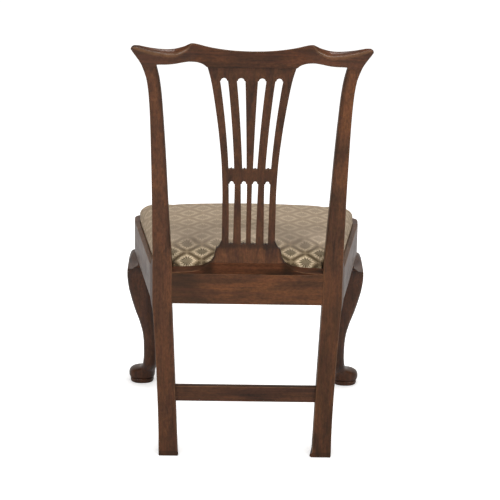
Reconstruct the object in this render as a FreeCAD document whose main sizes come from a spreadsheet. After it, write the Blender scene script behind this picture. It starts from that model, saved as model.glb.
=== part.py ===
import FreeCAD, Part
import os
import Sketcher
from FreeCAD import Placement, Vector

# Side chair with a pierced splat, an eared crest rail, a drop-in seat, cabriole
# front legs and square raked rear posts, in millimetres.
# +Z is up and the front faces -Y. The origin lies on the floor, midway between
# the front of the pad feet and the back of the crest rail. Left and right are
# the sitter's, so left is +X. Depths are measured forward from the back face
# of the rear seat rail.

SIZES = (
    # Seat frame
    ("seat_height", 427, "floor to the top of the side and front rails"),
    ("seat_depth", 427, "back of the rear rail to the front of the front rail"),
    ("seat_back_half", 212, "middle to the outside of a rear post, at its back"),
    ("seat_front_half", 270.5, "middle to the front outer corner of a leg"),
    ("leg_step", 2.3, "front corner of a leg outside the end of the side rail"),
    ("rail_height", 77, "height of the side and front rails"),
    ("rail_thickness", 32, "thickness of the side and front rails"),
    ("rebate_border", 12.5, "rail top that shows round the drop-in seat"),
    ("rebate_depth", 12, "rail top down to the ledge under the drop-in seat"),
    ("rear_rail_drop", 6, "rear rail top below the side rail tops"),
    ("tenon_length", 24, "tenons of the side and front rails"),
    ("rear_tenon_length", 20, "tenons of the rear rail"),
    ("tenon_thickness", 11, "tenons of the seat rails"),
    ("tenon_shoulder", 7, "shoulder above and below a tenon"),
    ("tenon_setback", 12, "front rail face back to its tenon"),
    ("joint_clearance", 0.15, "room round a tenon in its mortise"),
    # Rear posts
    ("post_inner_half", 168.5, "middle to the inside of a post, at the rails"),
    ("post_depth", 42, "front to back, at the rails"),
    ("post_foot_outer", 195.5, "middle to the outside of a post, at the floor"),
    ("post_foot_inner", 152.5, "middle to the inside of a post, at the floor"),
    ("post_foot_depth", 38, "front to back, at the floor"),
    ("post_top_outer", 232, "middle to the outside of a post, at the crest"),
    ("post_top_inner", 202, "middle to the inside of a post, at the crest"),
    ("post_top_depth", 26, "front to back, at the crest"),
    ("post_facet_fade", 55, "angled side face running out below the side rail"),
    ("post_facet_stop", 23, "angled side face running out above the side rail"),
    ("post_tenon_width", 20, "tenon into the crest rail"),
    ("post_tenon_height", 22, "tenon into the crest rail"),
    ("foot_rake", 46, "back of a rear foot behind the rear rail"),
    ("back_rake", 109, "back of the crest top behind the rear rail"),
    # Crest rail
    ("back_height", 540, "side rails' top to the tops of the two bumps"),
    ("crest_rise", 55, "crest rail's joints to the tops of the two bumps"),
    ("crest_ear_half", 255.5, "middle to the tip of an ear"),
    ("crest_lip", 4, "underside of the crest above its joint, beside a post"),
    ("crest_thickness", 26, "front to back"),
    ("crest_fall", 8.5, "fall of the crest rail's top from back to front"),
    # Splat
    ("shoe_height", 27, "rear rail's top to the joint of splat and shoe"),
    ("splat_foot_half", 83, "half width on the shoe"),
    ("splat_plinth_half", 75, "half width above the flare of the foot"),
    ("splat_waist_half", 59, "half width at its narrowest"),
    ("splat_top_half", 94, "half width under the crest rail"),
    ("splat_thickness", 11, "front to back"),
    ("splat_set_in", 3, "splat's back in front of the posts' backs"),
    ("splat_tenon_height", 16, "tenons into the shoe and the crest rail"),
    ("splat_tenon_half", 58, "half width of the lower tenon"),
    ("splat_crest_tenon_half", 84, "half width of the upper tenon"),
    ("splat_tenon_thickness", 7, "tenons into the shoe and the crest rail"),
    ("slot_foot_rise", 45.5, "joint of splat and shoe to the sills of the lower slots"),
    ("slot_head_margin", 24.5, "heads of the upper slots to the crest rail"),
    ("waist_bar_depth", 28.5, "height of the waist bar"),
    ("slot_lobe", 6.5, "rise of the round head of a slot"),
    ("slot_step", 2, "shoulder each side of a slot's round head"),
    ("slot_sill", 2.2, "rise of the bump on a slot's sill"),
    # Shoe
    ("shoe_depth", 24, "front to back"),
    ("shoe_wing_back", 2.6, "height of a wing's end at the back"),
    ("shoe_wing_front", 9, "height of a wing's end at the front"),
    ("shoe_cove", 9, "hollow along the front of the plinth"),
    # Rear stretcher
    ("stretcher_height", 120, "floor to the underside"),
    ("stretcher_width", 36, "height of the stretcher's board"),
    ("stretcher_thickness", 16, "front to back"),
    ("stretcher_set_back", 10, "its back behind the rear rail's back face"),
    ("stretcher_tenon_length", 22, "tenons into the posts"),
    ("stretcher_tenon_thickness", 9, "tenons into the posts"),
    # Front legs
    ("leg_block", 55, "side of the leg's square top"),
    ("knee_bulge", 16.4, "knee outside the rails' faces"),
    ("knee_drop", 12, "square top of a leg carried on below the rails"),
    ("ankle_height", 84, "floor to the thinnest place"),
    ("ankle_inner_half", 215.8, "middle to the inside of an ankle"),
    ("ankle_width", 31, "diameter of an ankle"),
    ("foot_centre_half", 252, "middle to the centre of a pad foot"),
    ("foot_centre_depth", 420, "rear rail's back to the centre of a pad foot"),
    ("foot_radius", 32.2, "radius of the pad"),
    ("foot_disc_radius", 29, "radius of the disc under the pad"),
    ("foot_disc_height", 12, "height of the disc under the pad"),
    ("foot_pad_height", 34, "floor to the top of the pad"),
    # Knee brackets
    ("bracket_length", 85, "leg to the end of a bracket"),
    ("bracket_height", 45, "rail's underside to the bracket's lower edge"),
    ("bracket_thickness", 26, "rail's face in to the back of a bracket"),
    # Corner blocks
    ("rear_block_leg", 60, "sides of a rear block along the rails"),
    ("front_block_leg", 46, "sides of a front block past the leg"),
    ("block_height", 46, "height of a block"),
    ("block_drop", 4, "top of a block under the ledge"),
    # Drop-in seat
    ("seat_clearance", 1, "cover to the rebate, shoe and posts"),
    ("ledge_clearance", 0.3, "cover above the ledge"),
    ("cover_thickness", 1.5, "woven cover"),
    ("lining_gap", 0.3, "between the layers of the seat"),
    ("frame_gap", 0.9, "seat frame's edges inside the cover"),
    ("cover_hem", 36, "cover turned under the seat frame"),
    ("seat_frame_width", 48, "width of the seat frame's rails"),
    ("seat_frame_thickness", 17, "thickness of the seat frame's rails"),
    ("seat_tenon_length", 20, "tenons of the seat frame"),
    ("seat_tenon_width", 26, "tenons of the seat frame"),
    ("seat_tenon_thickness", 6, "tenons of the seat frame"),
    ("seat_wall", 10.5, "upright side of the cushion above the rail tops"),
    ("seat_shoulder", 41, "rolled shoulder of the cushion above the rail tops"),
    ("seat_crown", 48, "middle of the cushion above the rail tops"),
    ("seat_shoulder_width", 30, "rolled shoulder, side to side"),
    ("seat_corner", 9, "front corners of the cushion drawn in"),
    # Webbing, hessian and tacks
    ("web_width", 50, "width of a strap"),
    ("web_thickness", 1.6, "thickness of a strap"),
    ("web_gap", 0.2, "between straps that cross"),
    ("web_pitch_side", 100, "front to back straps, middle to middle"),
    ("web_rear_run", 64.6, "rear end of the long straps to the middle of the first cross strap"),
    ("web_front_run", 77.1, "front end of the long straps to the middle of the last cross strap"),
    ("web_end_margin", 14, "end of a strap inside the seat frame's edge"),
    ("web_ramp", 11, "length over which a strap climbs"),
    ("hessian_thickness", 1, "hessian over the webbing"),
    ("hessian_margin", 12, "hessian's edge inside the seat frame's edge"),
    ("tack_head_radius", 3.2, "tack heads"),
    ("tack_head_thickness", 0.9, "tack heads"),
    ("tack_shank_radius", 1, "tack shanks under the head"),
    ("tack_tip_radius", 0.3, "tack shanks at the tip"),
    ("tack_length", 9, "tack shanks"),
    ("tack_inset", 8, "webbing tacks from a strap's end"),
    ("tack_spread", 15, "webbing tacks, one to the next"),
    ("cover_tack_inset", 29, "cover tacks from the seat frame's edge"),
    ("cover_tack_pitch", 48, "cover tacks, one to the next"),
    ("overrun", 5, "how far a cutter runs past what it cuts"),
)

# The back's lean is part straight and part curved, and the rear legs kick back
# by a power of the distance below the rails.
LEAN_STRAIGHT_SHARE = 0.65
KICK_POWER = 1.6

# Rows of height and outer edge of a rear leg, from the floor to the rear rail,
# and rows of height, outer edge and inner edge of a stile, from the seat to the
# crest joint.
LEG_SHARES = ((0.0, 0.0), (0.21, 0.10), (0.43, 0.30), (0.64, 0.53))
STILE_SHARES = (
    (0.18, 0.03, 0.15), (0.36, 0.05, 0.284), (0.56, 0.115, 0.415), (0.75, 0.20, 0.57),
    (0.87, 0.34, 0.69), (0.945, 0.57, 0.827), (1.0, 1.0, 1.0),
)
FACET_SHARE = 0.80
STOP_INNER_SHARE = 0.04

# Places on the crest rail, as shares of an ear's reach and of the height above
# the joint.
CREST_TOP_SHARES = (
    (0.16, 0.72), (0.31, 0.81), (0.43, 0.94), (0.50, 1.0), (0.555, 0.89), (0.63, 0.775),
    (0.70, 0.735), (0.78, 0.76), (0.86, 0.82), (0.93, 0.895), (0.975, 0.88), (1.0, 0.73),
)
CREST_MIDDLE_SHARE = 0.69
CREST_EAR_SHARES = ((0.978, 0.527), (0.94, 0.282))
CREST_UNDER_SHARES = ((0.70, 0.066), (0.63, 0.11), (0.57, 0.18), (0.51, 0.215), (0.45, 0.195), (0.40, 0.12))

# The splat's edge above its foot, as shares of its height and of how much it
# widens, and the flare of the foot, as shares of its height and its step.
SPLAT_EDGE_SHARES = ((0.24, -0.005), (0.42, 0.06), (0.61, 0.25), (0.79, 0.52), (0.93, 0.79))
SPLAT_FLARE_SHARES = ((0.28, 1.0), (0.50, 0.90), (0.66, 0.74))
SPLAT_CUSP_SHARES = ((0.69, 0.52), (0.86, 0.18))
# Each slot's four corners as shares of the splat's half width: the edge nearer
# the middle and the farther edge, at the sill and at the head.
LOWER_SLOT_SHARES = ((0.09, 0.276, 0.094, 0.317), (0.576, 0.734, 0.547, 0.762))
UPPER_SLOT_SHARES = ((0.118, 0.265, 0.156, 0.364), (0.56, 0.756, 0.584, 0.779))
SLOT_STATION_SHARES = (0.0, 0.35, 0.7, 1.0)
# Underside of the waist bar, from the sills of the lower slots to the heads of
# the upper ones.
WAIST_SHARE = 0.386
SILL_SHARES = (0.3, 0.7)

# Top of a wing of the shoe: from its end at the post to the splat's foot.
SHOE_WING_SHARES = ((0.56, 0.11), (0.28, 0.30), (0.09, 0.71))

# Knee: rows of height above the ankle, outer edge, and the radii of the outer
# corner and of the other corners as shares of the width. Shin and neck of the
# foot: rows of height, outer edge and inner edge, and for the shin the radii.
KNEE_SHARES = (
    (1.0, 0.16, 0.06, 0.03), (0.985, 0.50, 0.13, 0.03), (0.929, 0.835, 0.20, 0.03),
    (0.866, 0.977, 0.24, 0.05), (0.802, 1.0, 0.27, 0.09),
)
SHIN_SHARES = (
    (0.685, 0.94, 0.50, 0.33, 0.18), (0.565, 0.78, 0.72, 0.38, 0.28), (0.44, 0.55, 0.74, 0.43, 0.36),
    (0.32, 0.27, 0.58, 0.46, 0.42), (0.20, 0.07, 0.30, 0.475, 0.46), (0.105, 0.01, 0.10, 0.485, 0.48),
    (0.0, 0.0, 0.0, 0.485, 0.485),
)
NECK_SHARES = (
    (0.55, 0.03, 0.01), (0.40, 0.08, 0.05), (0.26, 0.22, 0.16), (0.17, 0.45, 0.34), (0.08, 0.66, 0.52),
)
# Pad foot, as radius and height of its turned outline above the disc.
PAD_SHARES = ((0.93, 0.06), (0.99, 0.22), (1.0, 0.42), (0.97, 0.65), (0.86, 0.86), (0.62, 1.0))
DISC_SHARES = ((0.86, 0.0), (0.97, 0.2), (1.0, 0.6), (0.97, 1.0))
CIRCLE_SHARE = 0.485
# Swell of the leg's inner side, and the end of the ankle in the pad foot.
CALF_SHARE = 0.35
NECK_SHARE = 0.5

# Knee bracket: its outer outline as shares of bulge and height, and stations
# along it with the shares of bulge and height that are left there.
BRACKET_OUTLINE_SHARES = ((0.53, 0.24), (0.90, 0.62), (1.0, 0.88), (0.82, 1.0))
BRACKET_STATION_SHARES = ((0.0, 1.0, 1.0), (0.5, 0.50, 0.60), (1.0, 0.06, 0.12))
BRACKET_BACK_SHARE = 0.85

# Cushion stations from front to rear, as shares of its depth, with the share of
# a corner's drawing in, and of the wall, shoulder and crown heights, there.
CUSHION_SHARES = (
    (0.0, 1.0, 1.0, 0.40, 0.26), (0.022, 0.46, 1.0, 0.70, 0.62), (0.06, 0.22, 1.0, 0.90, 0.82),
    (0.10, 0.06, 1.0, 0.97, 0.90), (0.14, 0.0, 1.0, 1.0, 0.94), (0.32, 0.0, 1.0, 1.0, 1.0),
    (0.60, 0.0, 1.0, 1.0, 1.0), (0.80, 0.0, 1.0, 0.95, 0.92), (0.90, 0.0, 1.0, 0.80, 0.76),
    (0.955, 0.0, 0.92, 0.56, 0.55), (0.985, 0.0, 0.76, 0.30, 0.26), (1.0, 0.0, 0.60, 0.12, 0.08),
)
# Front corner of the seat frame: how far along and in its two cuts reach.
FRAME_CORNER_SHARES = ((1.6, 0.0), (0.48, 1.8))
CUSHION_ROLL_SHARES = (0.3, 0.68)

WEB_PLACES = (-1, 0, 1)
SIDES = (("left", 1), ("right", -1))
# Places along a curved board at which its bend is followed.
BEND_SHARES = (0.0, 0.25, 0.5, 0.75, 1.0)

doc = FreeCAD.newDocument("side_chair")
dims = doc.addObject("Spreadsheet::Sheet", "dims")
for row, (alias, number, note) in enumerate(SIZES, start=1):
    dims.set(f"A{row}", alias)
    dims.set(f"B{row}", str(number))
    dims.setAlias(f"B{row}", alias)
    dims.set(f"C{row}", note)
doc.recompute()


def value(expression):
    """Number that an expression of the sheet comes to."""
    return float(dims.evalExpression(expression))


class Sizes:
    """The sheet's sizes as attributes."""

    def __getattr__(self, name):
        return float(dims.get(name))


s = Sizes()

BACK_Y = "(dims.foot_centre_depth + dims.foot_radius - dims.back_rake) / 2"
RAIL_FRONT_HALF = "(dims.seat_front_half - dims.leg_step)"
RAIL_BOTTOM = "(dims.seat_height - dims.rail_height)"
REAR_RAIL_TOP = "(dims.seat_height - dims.rear_rail_drop)"
REAR_RAIL_HEIGHT = "(dims.rail_height - dims.rear_rail_drop)"
CREST_TOP = "(dims.seat_height + dims.back_height)"
CREST_JOINT = "(" + CREST_TOP + " - dims.crest_rise)"
SPLAT_FOOT = "(" + REAR_RAIL_TOP + " + dims.shoe_height)"
SLOT_FOOT = "(" + SPLAT_FOOT + " + dims.slot_foot_rise)"
SLOT_HEAD = "(" + CREST_JOINT + " - dims.slot_head_margin)"
LEDGE = "(dims.seat_height - dims.rebate_depth)"
LEG_BACK = "(dims.seat_depth - dims.leg_block)"
RAIL_BACK = "(dims.seat_depth - dims.rail_thickness)"
SEAT_BASE = "(" + LEDGE + " + dims.ledge_clearance)"
FRAME_BASE = "(" + SEAT_BASE + " + dims.cover_thickness + dims.lining_gap)"
FRAME_INSET = "(dims.cover_thickness + dims.frame_gap)"
SEAT_FRONT = "(dims.seat_depth - dims.rebate_border - dims.seat_clearance)"
SEAT_REAR = "(dims.shoe_depth + dims.seat_clearance)"
NOTCH_DEPTH = "(dims.post_depth + dims.seat_clearance)"
NOTCH_HALF = "(dims.post_inner_half - dims.seat_clearance)"

back_y = value(BACK_Y)
rail_bottom = value(RAIL_BOTTOM)
rear_rail_top = value(REAR_RAIL_TOP)
rail_front_half = value(RAIL_FRONT_HALF)
crest_top = value(CREST_TOP)
crest_joint = value(CREST_JOINT)
splat_foot = value(SPLAT_FOOT)
slot_foot = value(SLOT_FOOT)
slot_head = value(SLOT_HEAD)
ledge = value(LEDGE)
leg_back = value(LEG_BACK)
knee_top = rail_bottom - s.knee_drop


def side_line(depth, inset="0"):
    """Half width, as an expression, of the side rails' outer line at a depth."""
    slope = f"({RAIL_FRONT_HALF} - dims.seat_back_half) / {LEG_BACK}"
    return f"(dims.seat_back_half + {slope} * ({depth}) - ({inset}))"


def plan(half_width, depth, side=1):
    """Corner of a plan outline, as expressions."""
    return f"{side} * ({half_width})", f"{BACK_Y} - ({depth})"


def sketch(body, name, role, corners, level):
    """Closed outline whose corners follow expressions of the sheet."""
    made = body.newObject("Sketcher::SketchObject", name)
    plane = next(f for f in body.Origin.OriginFeatures if f.Role == role)
    made.AttachmentSupport = (plane, [""])
    made.MapMode = "FlatFace"
    made.setExpression("AttachmentOffset.Base.z", level)
    places = [Vector(value(x), value(y), 0) for x, y in corners]
    for index, start in enumerate(places):
        end = places[(index + 1) % len(places)]
        made.addGeometry(Part.LineSegment(start, end), False)
    for index in range(len(places)):
        following = (index + 1) % len(places)
        made.addConstraint(Sketcher.Constraint("Coincident", index, 2, following, 1))
    for index, corner in enumerate(corners):
        for kind, expression in zip(("DistanceX", "DistanceY"), corner):
            rule = Sketcher.Constraint(kind, -1, 1, index, 1, value(expression))
            number = made.addConstraint(rule)
            made.setExpression(f"Constraints[{number}]", expression)
    return made


def pad(body, name, corners, level, height, role="XY_Plane"):
    """Board that rises from a sketched outline."""
    board = body.newObject("PartDesign::Pad", name)
    board.Profile = sketch(body, name + "_outline", role, corners, level)
    board.setExpression("Length", height)
    return board


def pocket(body, name, corners, level, depth):
    """Recess cut down from a sketched outline."""
    recess = body.newObject("PartDesign::Pocket", name)
    recess.Profile = sketch(body, name + "_outline", "XY_Plane", corners, level)
    recess.setExpression("Length", depth)
    return recess


def new_body(label):
    """Empty body for a piece that is sawn and cut from straight boards."""
    body = doc.addObject("PartDesign::Body", label)
    body.Label = label
    return body


def add_shape(label, shape):
    """Sub-part whose form neither sketches nor primitives give."""
    feature = doc.addObject("Part::Feature", label)
    feature.Label = label
    feature.Shape = shape
    feature.Placement = Placement()
    return feature


def rectangle(half_from, half_to, depth_from, depth_to, side=1):
    """Corners of an upright board's plan."""
    return [
        plan(half_from, depth_from, side), plan(half_to, depth_from, side),
        plan(half_to, depth_to, side), plan(half_from, depth_to, side),
    ]


def box(x_from, x_to, y_from, y_to, z_from, z_to):
    """Solid block between two corners."""
    low = Vector(min(x_from, x_to), min(y_from, y_to), min(z_from, z_to))
    return Part.makeBox(abs(x_to - x_from), abs(y_to - y_from), abs(z_to - z_from), low)


def spline(points):
    """Smooth edge through points."""
    curve = Part.BSplineCurve()
    curve.interpolate(points)
    return curve.toShape()


def line(start, end):
    """Straight edge."""
    return Part.LineSegment(start, end).toShape()


def arc(start, middle, end):
    """Round edge through three points."""
    return Part.Arc(start, middle, end).toShape()


def face(edges):
    """Flat face inside a closed run of edges."""
    return Part.Face(Part.Wire(Part.__sortEdges__(edges)))


def polygon(points):
    """Closed wire with straight sides."""
    return Part.makePolygon(points + [points[0]])


def prism(points, direction):
    """Solid swept straight from a polygon."""
    return Part.Face(polygon(points)).extrude(direction)


def mirrored(shape, side):
    """The left piece, or its mirror image for the right side."""
    if side > 0:
        return shape
    return shape.mirror(Vector(0, 0, 0), Vector(1, 0, 0))


def between(low, high, share):
    """Value at a share of the way from low to high."""
    return low + (high - low) * share


def lean(z):
    """How far the back's rear face stands behind the rear rail at a height."""
    if z >= s.seat_height:
        t = (z - s.seat_height) / s.back_height
        return s.back_rake * (LEAN_STRAIGHT_SHARE * t + (1 - LEAN_STRAIGHT_SHARE) * t * t)
    if z < rail_bottom:
        return s.foot_rake * ((rail_bottom - z) / rail_bottom) ** KICK_POWER
    return 0.0


def back_slab(z_from, z_to, set_in, thickness):
    """Curved board that follows the back's lean, wider than the chair."""
    reach = s.crest_ear_half + s.overrun
    heights = [between(z_from, z_to, share) for share in BEND_SHARES]
    rear = [Vector(-reach, back_y + lean(z) - set_in, z) for z in heights]
    front = [point - Vector(0, thickness, 0) for point in rear]
    edges = [spline(rear), line(rear[-1], front[-1]), spline(front), line(front[0], rear[0])]
    return face(edges).extrude(Vector(2 * reach, 0, 0))


# Seat rails


def rear_seat_rail():
    """Rear rail with the ledge for the drop-in seat in front of the shoe."""
    body = new_body("rear_seat_rail")
    half = "dims.post_inner_half"
    corners = rectangle(f"-{half}", half, "0", "dims.post_depth")
    pad(body, "rail", corners, RAIL_BOTTOM, REAR_RAIL_HEIGHT)
    tenon_half = f"{half} + dims.rear_tenon_length"
    tenon_depth = "dims.tenon_setback + dims.tenon_thickness"
    corners = rectangle(f"-({tenon_half})", tenon_half, "dims.tenon_setback", tenon_depth)
    tenon_height = f"{REAR_RAIL_HEIGHT} - 2 * dims.tenon_shoulder - dims.rebate_depth"
    pad(body, "tenons", corners, f"{RAIL_BOTTOM} + dims.tenon_shoulder", tenon_height)
    corners = rectangle(f"-{half}", half, "dims.shoe_depth", "dims.post_depth")
    pocket(body, "ledge", corners, REAR_RAIL_TOP, f"{REAR_RAIL_TOP} - {LEDGE}")


def front_seat_rail():
    """Front rail between the leg blocks."""
    body = new_body("front_seat_rail")
    half = "(dims.seat_front_half - dims.leg_block)"
    corners = rectangle(f"-{half}", half, RAIL_BACK, "dims.seat_depth")
    pad(body, "rail", corners, RAIL_BOTTOM, "dims.rail_height")
    tenon_half = f"({half} + dims.tenon_length)"
    tenon_front = "dims.seat_depth - dims.tenon_setback"
    corners = rectangle(f"-{tenon_half}", tenon_half, f"{tenon_front} - dims.tenon_thickness", tenon_front)
    tenon_height = "dims.rail_height - 2 * dims.tenon_shoulder - dims.rebate_depth"
    pad(body, "tenons", corners, f"{RAIL_BOTTOM} + dims.tenon_shoulder", tenon_height)
    corners = rectangle(f"-{half}", half, RAIL_BACK, "dims.seat_depth - dims.rebate_border")
    pocket(body, "ledge", corners, "dims.seat_height", "dims.rebate_depth")


def along_rail(depth_from, depth_to, inset_from, inset_to, side):
    """Plan corners of a strip that runs along a side rail."""
    return [
        plan(side_line(depth_from, inset_from), depth_from, side),
        plan(side_line(depth_to, inset_from), depth_to, side),
        plan(side_line(depth_to, inset_to), depth_to, side),
        plan(side_line(depth_from, inset_to), depth_from, side),
    ]


def side_seat_rail(name, side):
    """Side rail, which runs outward from the rear post to the leg block."""
    body = new_body(f"side_seat_rail_{name}")
    corners = along_rail("dims.post_depth", LEG_BACK, "0", "dims.rail_thickness", side)
    pad(body, "rail", corners, RAIL_BOTTOM, "dims.rail_height")
    rear = "dims.post_depth - dims.tenon_length"
    front = f"{LEG_BACK} + dims.tenon_length"
    inner = "dims.tenon_setback + dims.tenon_thickness"
    corners = along_rail(rear, front, "dims.tenon_setback", inner, side)
    tenon_height = "dims.rail_height - 2 * dims.tenon_shoulder - dims.rebate_depth"
    pad(body, "tenons", corners, f"{RAIL_BOTTOM} + dims.tenon_shoulder", tenon_height)
    corners = along_rail("dims.post_depth", LEG_BACK, "dims.rebate_border", "dims.rail_thickness", side)
    pocket(body, "ledge", corners, "dims.seat_height", "dims.rebate_depth")


def mortise_prism(corners, z_from, z_to):
    """Cutter over plan corners, with clearance above and below."""
    low = z_from - s.joint_clearance
    points = [Vector(value(x), value(y), low) for x, y in corners]
    return prism(points, Vector(0, 0, z_to - z_from + 2 * s.joint_clearance))


def side_rail_mortises():
    """Cutters for the tenons of the left side rail, in the post and the leg."""
    rear = "dims.post_depth - dims.tenon_length - dims.joint_clearance"
    front = f"{LEG_BACK} + dims.tenon_length + dims.joint_clearance"
    outer = "dims.tenon_setback - dims.joint_clearance"
    inner = "dims.tenon_setback + dims.tenon_thickness + dims.joint_clearance"
    corners = along_rail(rear, front, outer, inner, 1)
    z_from = rail_bottom + s.tenon_shoulder
    return mortise_prism(corners, z_from, ledge - s.tenon_shoulder)


# Rear posts


def leg_inner(z):
    """Straight inner edge of a rear leg, from the floor to the rear rail."""
    return between(s.post_foot_inner, s.post_inner_half, z / rail_bottom)


def post_section(z, outer, inner, front, facet=0.0):
    """Four-sided section of a rear post with its angled outer side."""
    rear = back_y + lean(z)
    return polygon([
        Vector(inner, rear, z), Vector(outer, rear, z),
        Vector(outer + facet, back_y - front, z), Vector(inner, back_y - front, z),
    ])


def post_blank():
    """Left post from the floor to the crest joint, without its joints."""
    facet = value(side_line("dims.post_depth")) - s.seat_back_half
    fade_height = rail_bottom - s.post_facet_fade
    stop_height = s.seat_height + s.post_facet_stop
    fade_outer = between(s.post_foot_outer, s.seat_back_half, FACET_SHARE)
    fade = (fade_height, fade_outer, leg_inner(fade_height), s.post_depth - lean(fade_height))
    sections = []
    for height, outer in LEG_SHARES:
        z = rail_bottom * height
        thickness = between(s.post_foot_depth, s.post_depth, height)
        outer_half = between(s.post_foot_outer, s.seat_back_half, outer)
        sections.append(post_section(z, outer_half, leg_inner(z), thickness - lean(z)))
    sections.append(post_section(*fade))
    leg = Part.makeLoft(sections, True, False)

    stop_inner = between(s.post_inner_half, s.post_top_inner, STOP_INNER_SHARE)
    stop_front = stile_depth(stop_height) - lean(stop_height)
    stop = (stop_height, s.seat_back_half, stop_inner, stop_front)
    block = Part.makeLoft([
        post_section(*fade),
        post_section(rail_bottom, s.seat_back_half, s.post_inner_half, s.post_depth, facet),
        post_section(s.seat_height, s.seat_back_half, s.post_inner_half, s.post_depth, facet),
        post_section(*stop),
    ], True, True)

    sections = [post_section(*stop)]
    for height, outer, inner in STILE_SHARES:
        z = between(s.seat_height, crest_joint, height)
        outer_half = between(s.seat_back_half, s.post_top_outer, outer)
        inner_half = between(s.post_inner_half, s.post_top_inner, inner)
        sections.append(post_section(z, outer_half, inner_half, stile_depth(z) - lean(z)))
    stile = Part.makeLoft(sections, True, False)
    return leg.multiFuse([block, stile])


def stile_depth(z):
    """Front to back size of a post above the seat."""
    share = (z - s.seat_height) / (crest_joint - s.seat_height)
    return between(s.post_depth, s.post_top_depth, share)


def post_tenon(clearance=0.0):
    """Tenon of the left post in the crest rail, or its mortise with clearance."""
    middle = (s.post_top_outer + s.post_top_inner) / 2
    half = s.post_tenon_width / 2 + clearance
    rear = back_y + lean(crest_joint) - s.tenon_shoulder + clearance
    front = rear - s.tenon_thickness - 2 * clearance
    top = crest_joint + s.post_tenon_height + clearance
    return box(middle - half, middle + half, rear, front, crest_joint - s.overrun, top)


def rear_post(name, side):
    """Stile and rear leg in one piece, mortised for the rails and stretcher."""
    gap = s.joint_clearance
    rail_tenon = box(
        s.post_inner_half - s.overrun, s.post_inner_half + s.rear_tenon_length + gap,
        back_y - s.tenon_setback + gap, back_y - s.tenon_setback - s.tenon_thickness - gap,
        rail_bottom + s.tenon_shoulder - gap,
        rear_rail_top - s.tenon_shoulder - s.rebate_depth + gap,
    )
    post = post_blank().fuse(post_tenon())
    post = post.cut(Part.makeCompound([rail_tenon, side_rail_mortises(), stretcher_mortise()]))
    add_shape(f"rear_post_{name}", mirrored(post.removeSplitter(), side))


# Rear stretcher


def stretcher_half(z):
    """Half length of the stretcher between the posts, as an expression."""
    rise = f"(dims.post_inner_half - dims.post_foot_inner) * ({z})"
    return f"(dims.post_foot_inner + {rise} / {RAIL_BOTTOM})"


def stretcher_levels():
    """Heights of the stretcher's underside and top, as expressions."""
    return "dims.stretcher_height", "(dims.stretcher_height + dims.stretcher_width)"


def stretcher_tenon_front():
    """Depth, as an expression, of the stretcher's tenons at their back."""
    return "(dims.stretcher_thickness - dims.stretcher_tenon_thickness) / 2 - dims.stretcher_set_back"


def rear_stretcher():
    """Flat stretcher between the rear legs, its shoulders on their slope."""
    body = new_body("rear_stretcher")
    low, high = stretcher_levels()
    wide_low, wide_high = stretcher_half(low), stretcher_half(high)
    corners = [(f"-{wide_low}", low), (wide_low, low), (wide_high, high), (f"-{wide_high}", high)]
    level = f"-({BACK_Y}) - dims.stretcher_set_back"
    pad(body, "board", corners, level, "dims.stretcher_thickness", "XZ_Plane")
    reach = f"({wide_low} + dims.stretcher_tenon_length)"
    bottom = f"{low} + dims.tenon_shoulder"
    top = f"{high} - dims.tenon_shoulder"
    corners = [(f"-{reach}", bottom), (reach, bottom), (reach, top), (f"-{reach}", top)]
    level = f"-({BACK_Y}) + {stretcher_tenon_front()}"
    pad(body, "tenons", corners, level, "dims.stretcher_tenon_thickness", "XZ_Plane")


def stretcher_mortise():
    """Cutter for the stretcher's tenon in the left post."""
    low, high = (value(level) for level in stretcher_levels())
    gap = s.joint_clearance
    rear = back_y - value(stretcher_tenon_front()) + gap
    reach = value(stretcher_half("dims.stretcher_height")) + s.stretcher_tenon_length + gap
    return box(
        s.post_foot_inner - s.overrun, reach,
        rear, rear - s.stretcher_tenon_thickness - 2 * gap,
        low + s.tenon_shoulder - gap, high - s.tenon_shoulder + gap,
    )


# Crest rail


def crest_fall(y):
    """Share of the crest rail's height that is left at a place front to back."""
    return 1 + s.crest_fall / s.crest_rise * (y - back_y - s.back_rake) / s.crest_thickness


def crest_point(share, rise, y):
    """Place on the crest rail's elevation."""
    return Vector(s.crest_ear_half * share, y, crest_joint + s.crest_rise * rise * crest_fall(y))


def flipped(points):
    """The same run on the right side."""
    return [Vector(-point.x, point.y, point.z) for point in points]


def crest_wire(y):
    """Closed elevation of the crest rail at a place front to back."""
    top = [crest_point(*place, y) for place in CREST_TOP_SHARES]
    outer_joint = Vector(s.post_top_outer, y, crest_joint)
    inner_joint = Vector(s.post_top_inner, y, crest_joint)
    lip = Vector(s.post_top_inner, y, crest_joint + s.crest_lip)
    splat_joint = Vector(s.splat_top_half, y, crest_joint)
    ear = [top[-1]] + [crest_point(*place, y) for place in CREST_EAR_SHARES] + [outer_joint]
    under = [lip] + [crest_point(*place, y) for place in CREST_UNDER_SHARES] + [splat_joint]
    middle = crest_point(0.0, CREST_MIDDLE_SHARE, y)
    edges = [
        spline(flipped(top)[::-1] + [middle] + top), spline(ear), line(outer_joint, inner_joint),
        line(inner_joint, lip), spline(under), line(splat_joint, *flipped([splat_joint])),
        spline(flipped(under)[::-1]), line(*flipped([lip, inner_joint])),
        line(*flipped([inner_joint, outer_joint])), spline(flipped(ear)[::-1]),
    ]
    return Part.Wire(edges)


def crest_rail():
    """Eared crest rail, sawn to its elevation, with a top that falls to the front."""
    rear = back_y + s.back_rake + s.overrun
    front = back_y + lean(crest_joint) - s.crest_thickness - s.overrun
    blank = Part.makeLoft([crest_wire(rear), crest_wire(front)], True, True)
    slab = back_slab(crest_joint - s.overrun, crest_top + s.overrun, 0.0, s.crest_thickness)
    rail = blank.common(slab)
    rail = rail.cut(Part.makeCompound([
        post_tenon(s.joint_clearance), mirrored(post_tenon(s.joint_clearance), -1), splat_tenon_room(),
    ]))
    add_shape("crest_rail", rail.removeSplitter())


# Splat


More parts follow.
